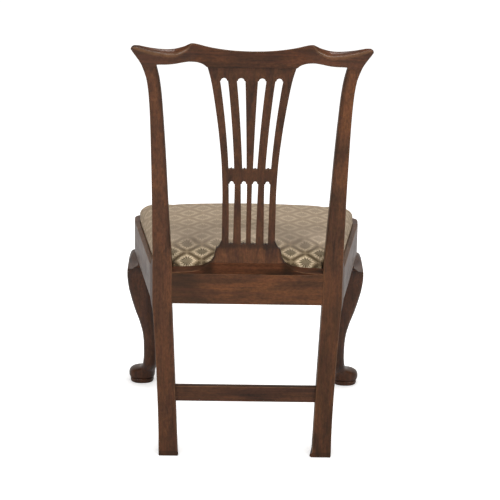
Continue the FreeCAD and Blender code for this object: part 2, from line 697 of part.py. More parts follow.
def splat_edge(z):
    """Smooth half width of the splat above its foot."""
    foot = splat_neck_height()
    share = (z - foot) / (crest_joint - foot)
    places = [(0.0, 0.0)] + list(SPLAT_EDGE_SHARES) + [(1.0, 1.0)]
    curve = Part.BSplineCurve()
    curve.interpolate([Vector(across, up, 0) for up, across in places])
    cutter = Part.LineSegment(Vector(-1, share, 0), Vector(2, share, 0))
    crossing = curve.intersectCC(cutter)[0]
    return between(s.splat_waist_half, s.splat_top_half, crossing.X)


def splat_neck_height():
    """Height at which the splat's flared foot has narrowed to the waist."""
    return slot_foot + s.slot_step + s.slot_lobe


def slot(shares, z_sill, z_head, side):
    """Cutter for one slot with its bumped sill and round, shouldered head."""
    inner_low, outer_low, inner_high, outer_high = shares
    shoulder = z_head - s.slot_lobe
    inner_run, outer_run = [], []
    for station in SLOT_STATION_SHARES:
        z = between(z_sill, shoulder, station)
        half = splat_edge(max(z, splat_neck_height()))
        inner_run.append(Vector(side * half * between(inner_low, inner_high, station), 0, z))
        outer_run.append(Vector(side * half * between(outer_low, outer_high, station), 0, z))
    step = Vector(side * s.slot_step, 0, 0)
    head_inner, head_outer = inner_run[-1] + step, outer_run[-1] - step
    head_top = (head_inner + head_outer) / 2 + Vector(0, 0, s.slot_lobe)
    sill = outer_run[0] - inner_run[0]
    bump_inner = inner_run[0] + sill * SILL_SHARES[0]
    bump_outer = inner_run[0] + sill * SILL_SHARES[1]
    bump_top = (bump_inner + bump_outer) / 2 + Vector(0, 0, s.slot_sill)
    edges = [
        spline(inner_run), line(inner_run[-1], head_inner), arc(head_inner, head_top, head_outer),
        line(head_outer, outer_run[-1]), spline(outer_run), line(outer_run[0], bump_outer),
        arc(bump_outer, bump_top, bump_inner), line(bump_inner, inner_run[0]),
    ]
    cutter = face(edges)
    cutter.translate(Vector(0, back_y - s.post_depth, 0))
    return cutter.extrude(Vector(0, s.back_rake + s.post_depth, 0))


def splat_side(side, cusp, flare, corner):
    """Edges of the splat's outline on one side, from the crest to the shoe."""
    return [
        spline(side), spline([side[0], cusp[1], cusp[0]]), line(cusp[0], flare[2]),
        spline(flare[::-1]), line(flare[0], corner[0]),
    ]


def splat_outline():
    """Elevation of the splat as one face behind the middle of the chair."""
    foot, neck, top = splat_foot, splat_neck_height(), crest_joint
    widen = s.splat_top_half - s.splat_waist_half
    step = s.splat_plinth_half - s.splat_waist_half
    side = [Vector(s.splat_waist_half, 0, neck)]
    side += [
        Vector(s.splat_waist_half + widen * across, 0, between(neck, top, up))
        for up, across in SPLAT_EDGE_SHARES
    ]
    side.append(Vector(s.splat_top_half, 0, top))
    flare = [
        Vector(s.splat_waist_half + step * across, 0, between(foot, neck, up))
        for up, across in SPLAT_FLARE_SHARES
    ]
    cusp = [
        Vector(s.splat_waist_half + step * across, 0, between(foot, neck, up))
        for up, across in SPLAT_CUSP_SHARES
    ]
    corner = [Vector(s.splat_foot_half, 0, foot)]
    runs = (side, cusp, flare, corner)
    edges = [line(*flipped([side[-1]]), side[-1]), line(*flipped(corner), corner[0])]
    edges += splat_side(*runs)
    edges += splat_side(*[flipped(run) for run in runs])
    return face(edges)


def splat_tenons(clearance=0.0):
    """Blocks of the splat's lower and upper tenons, with room round them."""
    gap = clearance
    inset = (s.splat_thickness - s.splat_tenon_thickness) / 2
    blocks = []
    places = (
        (s.splat_tenon_half, splat_foot, splat_foot - s.splat_tenon_height - gap),
        (s.splat_crest_tenon_half, crest_joint, crest_joint + s.splat_tenon_height + gap),
    )
    for half, joint, tip in places:
        rear = back_y + lean(joint) - s.splat_set_in - inset + gap
        front = rear - s.splat_tenon_thickness - 2 * gap
        blocks.append(box(-half - gap, half + gap, rear, front, joint, tip))
    return blocks


def splat_tenon_room():
    """Mortise for the splat in the crest rail."""
    return splat_tenons(s.joint_clearance)[1]


def splat():
    """Pierced board of five ribs with a waist bar."""
    outline = splat_outline()
    outline.translate(Vector(0, back_y - s.post_depth, 0))
    board = outline.extrude(Vector(0, s.back_rake + s.post_depth, 0))
    slab = back_slab(splat_foot, crest_joint, s.splat_set_in, s.splat_thickness)
    board = board.common(slab)
    waist = between(slot_foot, slot_head, WAIST_SHARE)
    cutters = []
    for side in (1, -1):
        for shares in LOWER_SLOT_SHARES:
            cutters.append(slot(shares, slot_foot, waist, side))
        for shares in UPPER_SLOT_SHARES:
            cutters.append(slot(shares, waist + s.waist_bar_depth, slot_head, side))
    board = board.cut(Part.makeCompound(cutters)).multiFuse(splat_tenons())
    add_shape("splat", board.removeSplitter())


# Shoe


def shoe_wire(wing, depth):
    """Closed outline of the shoe at its back or front face."""
    y = back_y - depth
    bottom = rear_rail_top
    rise = s.shoe_height - wing
    reach = s.post_inner_half - s.splat_foot_half
    end = Vector(s.post_inner_half, y, bottom + wing)
    top = Vector(s.splat_foot_half, y, splat_foot)
    run = [end]
    run += [
        Vector(s.splat_foot_half + reach * across, y, bottom + wing + rise * up)
        for across, up in SHOE_WING_SHARES
    ]
    run.append(top)
    floor = Vector(s.post_inner_half, y, bottom)
    edges = [
        line(*flipped([floor]), floor), line(floor, end), spline(run), line(top, *flipped([top])),
        spline(flipped(run)[::-1]), line(*flipped([end, floor])),
    ]
    return Part.Wire(edges)


def shoe():
    """Moulded shoe with two low wings and a plinth that takes the splat."""
    back = shoe_wire(s.shoe_wing_back, 0.0)
    front = shoe_wire(s.shoe_wing_front, s.shoe_depth)
    body = Part.makeLoft([back, front], True, True)
    start = Vector(-s.post_inner_half, back_y - s.shoe_depth, splat_foot)
    cove = Part.makeCylinder(s.shoe_cove, 2 * s.post_inner_half, start, Vector(1, 0, 0))
    body = body.cut(cove).cut(splat_tenons(s.joint_clearance)[0])
    add_shape("shoe", body.removeSplitter())


# Front legs and knee brackets


def leg_section(z, outer, inner, outer_radius, other_radius):
    """Section of the left leg: a square with rounded corners.

    outer and inner are distances out from the leg's middle lines, the same to
    the side and to the front, in the plane of the seat rails' faces.
    """
    x_in, x_out = s.seat_front_half + inner, s.seat_front_half + outer
    y_in, y_out = back_y - s.seat_depth - inner, back_y - s.seat_depth - outer
    corners = (
        (x_in, y_in, 1, -1, other_radius), (x_out, y_in, -1, -1, other_radius),
        (x_out, y_out, -1, 1, outer_radius), (x_in, y_out, 1, 1, other_radius),
    )
    starts, arcs = [], []
    diagonal = 1 - 0.5 ** 0.5
    for index, (x, y, across, along, radius) in enumerate(corners):
        beside = Vector(x + across * radius, y, z)
        below = Vector(x, y + along * radius, z)
        middle = Vector(x + across * radius * diagonal, y + along * radius * diagonal, z)
        first, last = (below, beside) if index % 2 == 0 else (beside, below)
        starts.append((first, last))
        arcs.append(arc(first, middle, last))
    edges = []
    for index in range(len(corners)):
        edges.append(arcs[index])
        edges.append(line(starts[index][1], starts[(index + 1) % len(corners)][0]))
    return Part.Wire(edges)


def leg_sections():
    """Sections of the left leg from its square top to the foot."""
    top, ankle = knee_top, s.ankle_height
    block_inner = -s.leg_block
    ankle_inner = s.ankle_inner_half - s.seat_front_half
    ankle_outer = ankle_inner + s.ankle_width
    sections = []
    for height, outer, round_out, round_in in KNEE_SHARES:
        out = s.knee_bulge * outer
        width = out - block_inner
        z = between(ankle, top, height)
        sections.append(leg_section(z, out, block_inner, width * round_out, width * round_in))
    swell = (s.leg_block - s.ankle_width) * CALF_SHARE
    for height, outer, inner, round_out, round_in in SHIN_SHARES:
        out = between(ankle_outer, s.knee_bulge, outer)
        back = ankle_inner + swell * inner
        width = out - back
        z = between(ankle, top, height)
        sections.append(leg_section(z, out, back, width * round_out, width * round_in))
    foot = s.foot_centre_half - s.seat_front_half
    for height, outer, inner in NECK_SHARES:
        out = between(ankle_outer, foot + s.foot_radius, outer)
        back = between(ankle_inner, foot - s.foot_radius * NECK_SHARE, inner)
        width = out - back
        z = between(s.foot_disc_height + s.foot_radius * NECK_SHARE, ankle, height)
        sections.append(leg_section(z, out, back, width * CIRCLE_SHARE, width * CIRCLE_SHARE))
    return sections


def pad_foot():
    """Turned pad foot with the disc under it."""
    disc = [(s.foot_disc_radius * r, s.foot_disc_height * h) for r, h in DISC_SHARES]
    rise = s.foot_pad_height - s.foot_disc_height
    pad_run = [(s.foot_radius * r, s.foot_disc_height + rise * h) for r, h in PAD_SHARES]
    points = [Vector(radius, 0, z) for radius, z in disc]
    crown = [Vector(radius, 0, z) for radius, z in pad_run]
    floor, peak = Vector(0, 0, 0), Vector(0, 0, s.foot_pad_height)
    edges = [
        line(floor, points[0]), spline(points), line(points[-1], crown[0]), spline(crown),
        line(crown[-1], peak), line(peak, floor),
    ]
    foot = face(edges).revolve(Vector(0, 0, 0), Vector(0, 0, 1), 360)
    foot.translate(Vector(s.foot_centre_half, back_y - s.foot_centre_depth, 0))
    return foot


def front_leg(name, side):
    """Cabriole leg, pad foot and the corner block that takes the rails."""
    inner = s.seat_front_half - s.leg_block
    front = back_y - s.seat_depth
    rear = back_y - leg_back
    corners = [
        Vector(inner, front, knee_top), Vector(s.seat_front_half, front, knee_top),
        Vector(rail_front_half, rear, knee_top), Vector(inner, rear, knee_top),
    ]
    block = prism(corners, Vector(0, 0, s.seat_height - knee_top))
    border = s.rebate_border
    room = [
        Vector(inner - s.overrun, front + border, ledge),
        Vector(s.seat_front_half - border, front + border, ledge),
        Vector(rail_front_half - border, rear, ledge),
        Vector(rail_front_half - border, rear + s.overrun, ledge),
        Vector(inner - s.overrun, rear + s.overrun, ledge),
    ]
    seat_room = prism(room, Vector(0, 0, s.rebate_depth + s.overrun))
    gap = s.joint_clearance
    tenon_front = front + s.tenon_setback
    mortise = box(
        inner - s.overrun, inner + s.tenon_length + gap,
        tenon_front - gap, tenon_front + s.tenon_thickness + gap,
        rail_bottom + s.tenon_shoulder - gap, ledge - s.tenon_shoulder + gap,
    )
    bracket_bottom = rail_bottom - s.bracket_height - s.overrun
    outside = s.seat_front_half + 2 * s.knee_bulge
    bracket_room = [
        box(inner - s.leg_block, outside, rear, rear + s.leg_block, bracket_bottom, rail_bottom),
        box(inner - s.leg_block, inner, front - 2 * s.knee_bulge, rear, bracket_bottom, rail_bottom),
    ]
    knee = Part.makeLoft(leg_sections(), True, False).cut(Part.makeCompound(bracket_room))
    leg = block.multiFuse([knee, pad_foot()])
    leg = leg.cut(Part.makeCompound([seat_room, mortise, side_rail_mortises()]))
    add_shape(f"front_leg_{name}", mirrored(leg.removeSplitter(), side))


def bracket_sections(place):
    """Sections of a bracket. place turns along, out and height into a point."""
    sections = []
    for along, bulge, height in BRACKET_STATION_SHARES:
        drop = s.bracket_height * height
        outline = [(-s.bracket_thickness, 0.0), (0.0, 0.0)]
        outline += [(s.knee_bulge * bulge * out, drop * down) for out, down in BRACKET_OUTLINE_SHARES]
        outline.append((-s.bracket_thickness, drop * BRACKET_BACK_SHARE))
        length = s.bracket_length * along
        sections.append(polygon([place(length, out, rail_bottom - down) for out, down in outline]))
    return sections


def knee_brackets(name, side):
    """Two brackets that carry a knee's swell on under the side and front rails."""
    slope = (rail_front_half - s.seat_back_half) / leg_back

    def beside(along, out, z):
        return Vector(rail_front_half - slope * along + out, back_y - leg_back + along, z)

    def before(along, out, z):
        inner = s.seat_front_half - s.leg_block
        return Vector(inner - along, back_y - s.seat_depth - out, z)

    for where, place in (("side", beside), ("front", before)):
        bracket = Part.makeLoft(bracket_sections(place), True, False)
        add_shape(f"knee_bracket_{where}_{name}", mirrored(bracket, side))


# Corner blocks


def rear_corner_block(name, side):
    """Glue block in the corner of the rear rail and a side rail."""
    body = new_body(f"corner_block_rear_{name}")
    depth = "dims.post_depth"
    far = f"({depth} + dims.rear_block_leg)"
    corner = side_line(depth, "dims.rail_thickness")
    corners = [
        plan(corner, depth, side), plan(side_line(far, "dims.rail_thickness"), far, side),
        plan(f"{corner} - dims.rear_block_leg", depth, side),
    ]
    level = f"{LEDGE} - dims.block_drop - dims.block_height"
    pad(body, "block", corners, level, "dims.block_height")


def front_corner_block(name, side):
    """Glue block in the corner of the front rail and a side rail, round the leg."""
    body = new_body(f"corner_block_front_{name}")
    inner = "(dims.seat_front_half - dims.leg_block)"
    near = f"({LEG_BACK} - dims.front_block_leg)"
    inset = "dims.rail_thickness"
    corners = [
        plan(f"{inner} - dims.front_block_leg", RAIL_BACK, side), plan(inner, RAIL_BACK, side),
        plan(inner, LEG_BACK, side), plan(side_line(LEG_BACK, inset), LEG_BACK, side),
        plan(side_line(near, inset), near, side),
    ]
    level = f"{LEDGE} - dims.block_drop - dims.block_height"
    pad(body, "block", corners, level, "dims.block_height")


# Frame of the drop-in seat


def frame_line(depth, inset="0"):
    """Half width of the seat frame at a depth, as an expression."""
    edge = f"dims.rebate_border + dims.seat_clearance + {FRAME_INSET} + {inset}"
    return side_line(depth, edge)


FRAME_FRONT = f"({SEAT_FRONT} - {FRAME_INSET})"
FRAME_FRONT_BACK = f"({FRAME_FRONT} - dims.seat_frame_width)"
FRAME_NOTCH_HALF = f"({NOTCH_HALF} - {FRAME_INSET})"
FRAME_NOTCH = f"({NOTCH_DEPTH} + {FRAME_INSET})"
FRAME_REAR = f"({SEAT_REAR} + {FRAME_INSET})"
FRAME_REAR_FRONT = f"({FRAME_REAR} + dims.seat_frame_width)"
FRAME_TOP = f"({FRAME_BASE} + dims.seat_frame_thickness)"
TENON_BASE = f"({FRAME_BASE} + (dims.seat_frame_thickness - dims.seat_tenon_thickness) / 2)"


def frame_tenon(side, clearance="0"):
    """Plan of a side rail's tenons in the seat frame, front to rear."""
    margin = f"(dims.seat_frame_width - dims.seat_tenon_width) / 2 - {clearance}"
    inner = f"(dims.seat_frame_width + dims.seat_tenon_width) / 2 + {clearance}"
    front = f"{FRAME_FRONT_BACK} + dims.seat_tenon_length + {clearance}"
    rear = f"{FRAME_REAR_FRONT} - dims.seat_tenon_length - {clearance}"
    return [
        plan(frame_line(rear, margin), rear, side), plan(frame_line(front, margin), front, side),
        plan(frame_line(front, inner), front, side), plan(frame_line(rear, inner), rear, side),
    ]


def frame_mortises(body):
    """Mortises for both side rails of the seat frame."""
    gap = "dims.joint_clearance"
    for name, side in SIDES:
        level = f"{TENON_BASE} + dims.seat_tenon_thickness + {gap}"
        depth = f"dims.seat_tenon_thickness + 2 * {gap}"
        pocket(body, f"mortise_{name}", frame_tenon(side, gap), level, depth)


def seat_frame_ends():
    """Front and rear rails of the seat frame; the rear one is notched for the posts."""
    body = new_body("seat_frame_front")
    corners = []
    for along, back in FRAME_CORNER_SHARES:
        depth = f"({FRAME_FRONT} - dims.seat_corner * {back})"
        half = frame_line(depth, f"dims.seat_corner * {along}")
        corners = [plan(half, depth, -1)] + corners + [plan(half, depth)]
    corners.append(plan(frame_line(FRAME_FRONT_BACK), FRAME_FRONT_BACK))
    corners.append(plan(frame_line(FRAME_FRONT_BACK), FRAME_FRONT_BACK, -1))
    pad(body, "rail", corners, FRAME_BASE, "dims.seat_frame_thickness")
    frame_mortises(body)

    body = new_body("seat_frame_rear")
    right = [
        plan(FRAME_NOTCH_HALF, FRAME_REAR, -1), plan(FRAME_NOTCH_HALF, FRAME_NOTCH, -1),
        plan(frame_line(FRAME_NOTCH), FRAME_NOTCH, -1),
        plan(frame_line(FRAME_REAR_FRONT), FRAME_REAR_FRONT, -1),
    ]
    left = [
        plan(frame_line(FRAME_REAR_FRONT), FRAME_REAR_FRONT), plan(frame_line(FRAME_NOTCH), FRAME_NOTCH),
        plan(FRAME_NOTCH_HALF, FRAME_NOTCH), plan(FRAME_NOTCH_HALF, FRAME_REAR),
    ]
    pad(body, "rail", right + left, FRAME_BASE, "dims.seat_frame_thickness")
    frame_mortises(body)


def seat_frame_side(name, side):
    """Side rail of the seat frame with a stub tenon at each end."""
    body = new_body(f"seat_frame_{name}")
    width = "dims.seat_frame_width"
    corners = [
        plan(frame_line(FRAME_REAR_FRONT), FRAME_REAR_FRONT, side),
        plan(frame_line(FRAME_FRONT_BACK), FRAME_FRONT_BACK, side),
        plan(frame_line(FRAME_FRONT_BACK, width), FRAME_FRONT_BACK, side),
        plan(frame_line(FRAME_REAR_FRONT, width), FRAME_REAR_FRONT, side),
    ]
    pad(body, "rail", corners, FRAME_BASE, "dims.seat_frame_thickness")
    pad(body, "tenons", frame_tenon(side), TENON_BASE, "dims.seat_tenon_thickness")


# Upholstery of the drop-in seat


def cushion_section(depth, base, half, wall, shoulder, crown):
    """Section of the cushion across the chair, crowned with rolled shoulders."""
    y = back_y - depth
    inner = half - s.seat_shoulder_width
    low = Vector(half, y, base)
    high = Vector(half, y, wall)
    rim = Vector(inner, y, shoulder)
    across, up = CUSHION_ROLL_SHARES
    roll = Vector(between(half, inner, across), y, between(wall, shoulder, up))
    top = Vector(0, y, crown)
    return Part.Wire([
        line(Vector(-half, y, base), low), line(low, high), arc(high, roll, rim),
        arc(rim, top, Vector(-inner, y, shoulder)),
        arc(Vector(-inner, y, shoulder), Vector(-roll.x, y, roll.z), Vector(-half, y, wall)),
        line(Vector(-half, y, wall), Vector(-half, y, base)),
    ])


def cushion(inset, base):
    """Crowned body of the seat, drawn in by inset, with its rear corners notched."""
    front, rear = value(SEAT_FRONT) - inset, value(SEAT_REAR) + inset
    sections = []
    for along, corner, wall, shoulder, crown in CUSHION_SHARES:
        depth = between(front, rear, along)
        half = value(side_line(str(depth), "dims.rebate_border + dims.seat_clearance")) - inset
        half -= s.seat_corner * corner
        top = s.seat_height - inset
        wall_z = top + s.seat_wall * wall
        shoulder_z = wall_z + (s.seat_shoulder - s.seat_wall) * shoulder
        crown_z = shoulder_z + (s.seat_crown - s.seat_shoulder) * crown
        sections.append(cushion_section(depth, base, half, wall_z, shoulder_z, crown_z))
    body = Part.makeLoft(sections, True, False)
    notch_front = back_y - value(NOTCH_DEPTH) - inset
    notch_half = value(NOTCH_HALF) - inset
    high = s.seat_height + s.seat_crown
    notches = [
        box(side * notch_half, side * s.crest_ear_half, notch_front, back_y, base - s.overrun, high)
        for side in (1, -1)
    ]
    return body.cut(Part.makeCompound(notches))


def seat_cover():
    """Woven cover over the crown and down the sides, turned in under the frame."""
    base = value(SEAT_BASE)
    skin = cushion(0.0, base)
    hollow = cushion(s.cover_thickness, base + s.cover_thickness)
    window_front = value(SEAT_FRONT) - s.cover_hem
    window_rear = value(NOTCH_DEPTH) + s.cover_hem
    hem = "dims.rebate_border + dims.seat_clearance + dims.cover_hem"
    corners = [
        plan(side_line(str(window_front), hem), str(window_front)),
        plan(side_line(str(window_rear), hem), str(window_rear)),
        plan(side_line(str(window_rear), hem), str(window_rear), -1),
        plan(side_line(str(window_front), hem), str(window_front), -1),
    ]
    points = [Vector(value(x), value(y), base - s.overrun) for x, y in corners]
    window = prism(points, Vector(0, 0, 2 * s.overrun))
    add_shape("seat_cover", skin.cut(hollow).cut(window))


def web_base():
    """Height of the seat frame's top, where the webbing lies."""
    return value(FRAME_TOP) + s.web_gap


def hessian_base():
    """Height of the hessian, over the webbing and its tack heads."""
    layers = 2 * s.web_thickness + s.web_gap
    return web_base() + layers + s.tack_head_thickness + s.web_gap


def strap_profile(length_from, length_to, crossings, levels):
    """Stations and lower heights of a strap that weaves over and under."""
    step = s.web_thickness + s.web_gap
    half = s.web_width / 2 + s.web_gap
    places = [(length_from, 0.0)]
    for at, level in zip(crossings, levels):
        height = step * level
        climb = half + s.web_ramp
        for offset, lift in ((-climb, 0.0), (-half, height), (half, height), (climb, 0.0)):
            places.append((at + offset, lift))
    places.append((length_to, 0.0))
    return places


def strap_face(places, point):
    """Side view of a strap of even thickness."""
    base = web_base()
    lower = [point(along, base + lift) for along, lift in places]
    upper = [point(along, base + lift + s.web_thickness) for along, lift in places]
    return Part.Face(polygon(lower + upper[::-1]))


def cross_strap_half(depth):
    """Half length of a side to side strap."""
    return value(frame_line(str(depth))) - s.web_end_margin


def web_depths():
    """Depths of the side to side straps, front to rear."""
    rear_end, front_end = strap_ends()
    first, last = rear_end + s.web_rear_run, front_end - s.web_front_run
    return [last, (first + last) / 2, first]


def strap_ends():
    """Depths at which the front to back straps start and end."""
    return value(FRAME_NOTCH) + s.web_end_margin, value(FRAME_FRONT) - s.web_end_margin


def webbing():
    """Two sets of woven jute straps on top of the seat frame."""
    rear, front = strap_ends()
    depths = sorted(web_depths())
    along_straps = []
    for column, place in enumerate(WEB_PLACES):
        left_edge = place * s.web_pitch_side - s.web_width / 2
        levels = [(column + row) % 2 for row in range(len(depths))]
        places = strap_profile(rear, front, depths, levels)
        side_view = strap_face(places, lambda depth, z: Vector(left_edge, back_y - depth, z))
        along_straps.append(side_view.extrude(Vector(s.web_width, 0, 0)))
    add_shape("webbing_front_to_back", Part.makeCompound(along_straps))

    across_straps = []
    crossings = [place * s.web_pitch_side for place in WEB_PLACES]
    for row, depth in enumerate(depths):
        half = cross_strap_half(depth + s.web_width / 2)
        levels = [(column + row + 1) % 2 for column in range(len(crossings))]
        places = strap_profile(-half, half, crossings, levels)
        y = back_y - depth - s.web_width / 2
        side_view = strap_face(places, lambda x, z: Vector(x, y, z))
        across_straps.append(side_view.extrude(Vector(0, s.web_width, 0)))
    add_shape("webbing_side_to_side", Part.makeCompound(across_straps))


def hessian():
    """Hessian sheet between the webbing and the stuffing."""
    margin = "dims.hessian_margin"
    front = f"({FRAME_FRONT} - {margin})"
    rear = f"({FRAME_NOTCH} + {margin})"
    body = new_body("hessian")
    corners = [
        plan(frame_line(front, margin), front, -1), plan(frame_line(front, margin), front),
        plan(frame_line(rear, margin), rear), plan(frame_line(rear, margin), rear, -1),
    ]
    level = f"{FRAME_TOP} + 2 * dims.web_thickness + 3 * dims.web_gap + dims.tack_head_thickness"
    pad(body, "sheet", corners, level, "dims.hessian_thickness")


def stuffing():
    """Horsehair pad under the cover, on the hessian."""
    base = hessian_base() + s.hessian_thickness + s.lining_gap
    low = value(SEAT_BASE)
    whole = cushion(s.cover_thickness + s.lining_gap, low)
    reach = 2 * s.seat_front_half
    below = box(-reach, reach, back_y, back_y - 2 * s.seat_depth, low - s.overrun, base)
    add_shape("stuffing", whole.cut(below))


def tack(x, y, z, up):
    """Tack with its head's seat at z, driven down, or up into the frame."""
    direction = Vector(0, 0, 1 if up else -1)
    seat = Vector(x, y, z)
    head = Part.makeCylinder(s.tack_head_radius, s.tack_head_thickness, seat, direction * -1)
    shank = Part.makeCone(s.tack_shank_radius, s.tack_tip_radius, s.tack_length, seat, direction)
    return head.fuse(shank)


def webbing_tacks():
    """Three tacks at each end of every strap."""
    z = web_base() + s.web_thickness
    rear, front = strap_ends()
    tacks = []
    for place in WEB_PLACES:
        for spread in WEB_PLACES:
            x = place * s.web_pitch_side + spread * s.tack_spread
            for depth in (rear + s.tack_inset, front - s.tack_inset):
                tacks.append(tack(x, back_y - depth, z, False))
    for depth in web_depths():
        reach = cross_strap_half(depth + s.web_width / 2) - s.tack_inset
        for spread in WEB_PLACES:
            for side in (1, -1):
                tacks.append(tack(side * reach, back_y - depth - spread * s.tack_spread, z, False))
    add_shape("webbing_tacks", Part.makeCompound(tacks))


def evenly(start, end, pitch):
    """Places from start to end, about a pitch apart."""
    count = max(1, round((end - start) / pitch))
    return [between(start, end, index / count) for index in range(count + 1)]


def cover_tacks():
    """Tacks that hold the turned-in cover under the seat frame, clear of the ledges."""
    z = value(SEAT_BASE)
    tacks = []
    front = value(FRAME_FRONT) - s.cover_tack_inset
    rear = value(FRAME_REAR) + s.cover_tack_inset
    half = s.seat_front_half - s.leg_block - 2 * s.tack_head_radius
    for x in evenly(-half, half, s.cover_tack_pitch):
        tacks.append(tack(x, back_y - front, z, True))
    half = s.post_inner_half - s.cover_tack_inset
    for x in evenly(-half, half, s.cover_tack_pitch):
        tacks.append(tack(x, back_y - rear, z, True))
    near = rear + s.cover_tack_pitch
    for depth in evenly(near, leg_back - s.tack_head_radius * 2, s.cover_tack_pitch):
        reach = value(frame_line(str(depth))) - s.cover_tack_inset
        for side in (1, -1):
            tacks.append(tack(side * reach, back_y - depth, z, True))
    add_shape("cover_tacks", Part.makeCompound(tacks))


def check_and_write():
    """Stop at any failed object or bad shape, then write each sub-part's file."""
    doc.recompute()
    for item in doc.Objects:
        if "Invalid" in item.State or "Error" in item.State:
            raise RuntimeError(f"{item.Name} failed: {item.State}")
    kinds = ("PartDesign::Body", "Part::Feature")
    parts = [item for item in doc.Objects if item.TypeId in kinds]
    for item in parts:
        if item.Shape.isNull() or not item.Shape.isValid() or not item.Shape.Solids:
            raise RuntimeError(f"{item.Label} has no valid solid")
    os.makedirs("parts", exist_ok=True)
    for item in parts:
        item.Shape.exportStep(f"parts/{item.Label}.step")
    print(len(parts), "sub-parts written")


rear_seat_rail()
front_seat_rail()
rear_stretcher()
crest_rail()
splat()
shoe()
seat_frame_ends()
for name, side in SIDES:
    side_seat_rail(name, side)
    rear_post(name, side)
    front_leg(name, side)
    knee_brackets(name, side)
    rear_corner_block(name, side)
    front_corner_block(name, side)
    seat_frame_side(name, side)
webbing()
webbing_tacks()
hessian()
stuffing()
seat_cover()
cover_tacks()
check_and_write()
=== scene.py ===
"""Looks of a mahogany side chair with a drop-in seat, built round its fixed frame.

Shapes are worked out in millimetres in the frame's own axes, +Z up and the front
towards -Y, and turned to metres when a mesh is made. Depths are measured forward
from the back face of the rear seat rail.
"""

import logging
import math
from dataclasses import dataclass, field
from enum import Enum
from functools import partial
from typing import Callable, Sequence

import bmesh
import bpy
import numpy as np
from mathutils import Matrix, Vector


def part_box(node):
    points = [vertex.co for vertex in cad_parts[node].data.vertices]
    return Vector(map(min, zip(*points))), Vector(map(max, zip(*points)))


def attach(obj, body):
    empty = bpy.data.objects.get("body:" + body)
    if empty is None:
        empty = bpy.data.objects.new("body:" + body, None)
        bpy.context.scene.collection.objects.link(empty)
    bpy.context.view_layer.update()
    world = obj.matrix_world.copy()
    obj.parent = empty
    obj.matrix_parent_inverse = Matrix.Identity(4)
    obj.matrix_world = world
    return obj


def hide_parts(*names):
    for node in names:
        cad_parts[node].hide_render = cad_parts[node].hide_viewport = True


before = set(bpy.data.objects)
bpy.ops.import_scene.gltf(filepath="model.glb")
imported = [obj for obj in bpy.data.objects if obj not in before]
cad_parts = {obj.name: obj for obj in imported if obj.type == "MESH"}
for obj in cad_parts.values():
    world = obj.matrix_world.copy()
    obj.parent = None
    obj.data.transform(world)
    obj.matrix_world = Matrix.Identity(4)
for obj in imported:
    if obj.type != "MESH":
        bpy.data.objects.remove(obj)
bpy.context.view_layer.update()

LOG = logging.getLogger("side_chair")
MM = 0.001
PERSON_SIDES = (("left", 1), ("right", -1))
# Scale at which a wave texture repeats once in each unit of its coordinates.
WAVE_UNIT = 0.314
# Old polish and dirt in the pores, and painted shade in joints and corners.
GRIME_AND_SHADE = "#1B1209"

Pair = tuple[float, float]
Triple = tuple[float, float, float]
Rows = Sequence[Pair]
Place = Callable[[float, float], Triple]
Tree = bpy.types.NodeTree
Node = bpy.types.Node
Socket = bpy.types.NodeSocket


# Curves and sections


def between(low: float, high: float, share: float) -> float:
    """Value at a share of the way from low to high."""
    return low + (high - low) * share


def smooth(rows: Rows, at: float | np.ndarray) -> float | np.ndarray:
    """Smooth curve through rows that keeps their rises and falls.

    Args:
        rows: Places and values, with the places ascending.
        at: Place or places to read.

    Returns:
        Value or values at those places.
    """
    x, y = np.array(rows, float).T
    step = np.diff(x)
    slope = np.diff(y) / step
    tangent = np.concatenate(([slope[0]], np.zeros(len(x) - 2), [slope[-1]]))
    for i in range(1, len(x) - 1):
        if slope[i - 1] * slope[i] > 0:
            near, far = 2 * step[i] + step[i - 1], step[i] + 2 * step[i - 1]
            tangent[i] = (near + far) / (near / slope[i - 1] + far / slope[i])
    place = np.clip(at, x[0], x[-1])
    i = np.clip(np.searchsorted(x, place, side="right") - 1, 0, len(step) - 1)
    t = (place - x[i]) / step[i]
    rise = t * t * (3 - 2 * t)
    pull_in = t * (1 - t) ** 2 * step[i] * tangent[i]
    pull_out = t * t * (t - 1) * step[i] * tangent[i + 1]
    return y[i] * (1 - rise) + y[i + 1] * rise + pull_in + pull_out


def stations(breaks: Sequence[float], pitch: float) -> list[float]:
    """Places from the first to the last break, with each break kept.

    Args:
        breaks: Places that are kept, in order up or down.
        pitch: Distance between places, near enough.

    Returns:
        The places.
    """
    places = [breaks[0]]
    for low, high in zip(breaks, breaks[1:]):
        count = max(1, round(abs(high - low) / pitch))
        places += [between(low, high, (i + 1) / count) for i in range(count)]
    return places


def round_over(start: Pair, corner: Pair, end: Pair, share: float) -> Pair:
    """Point at a share of the way round a corner, from the rounding's start to its end."""
    mix = ((1 - share) ** 2, 2 * share * (1 - share), share * share)
    return tuple(sum(m * p[k] for m, p in zip(mix, (start, corner, end))) for k in (0, 1))


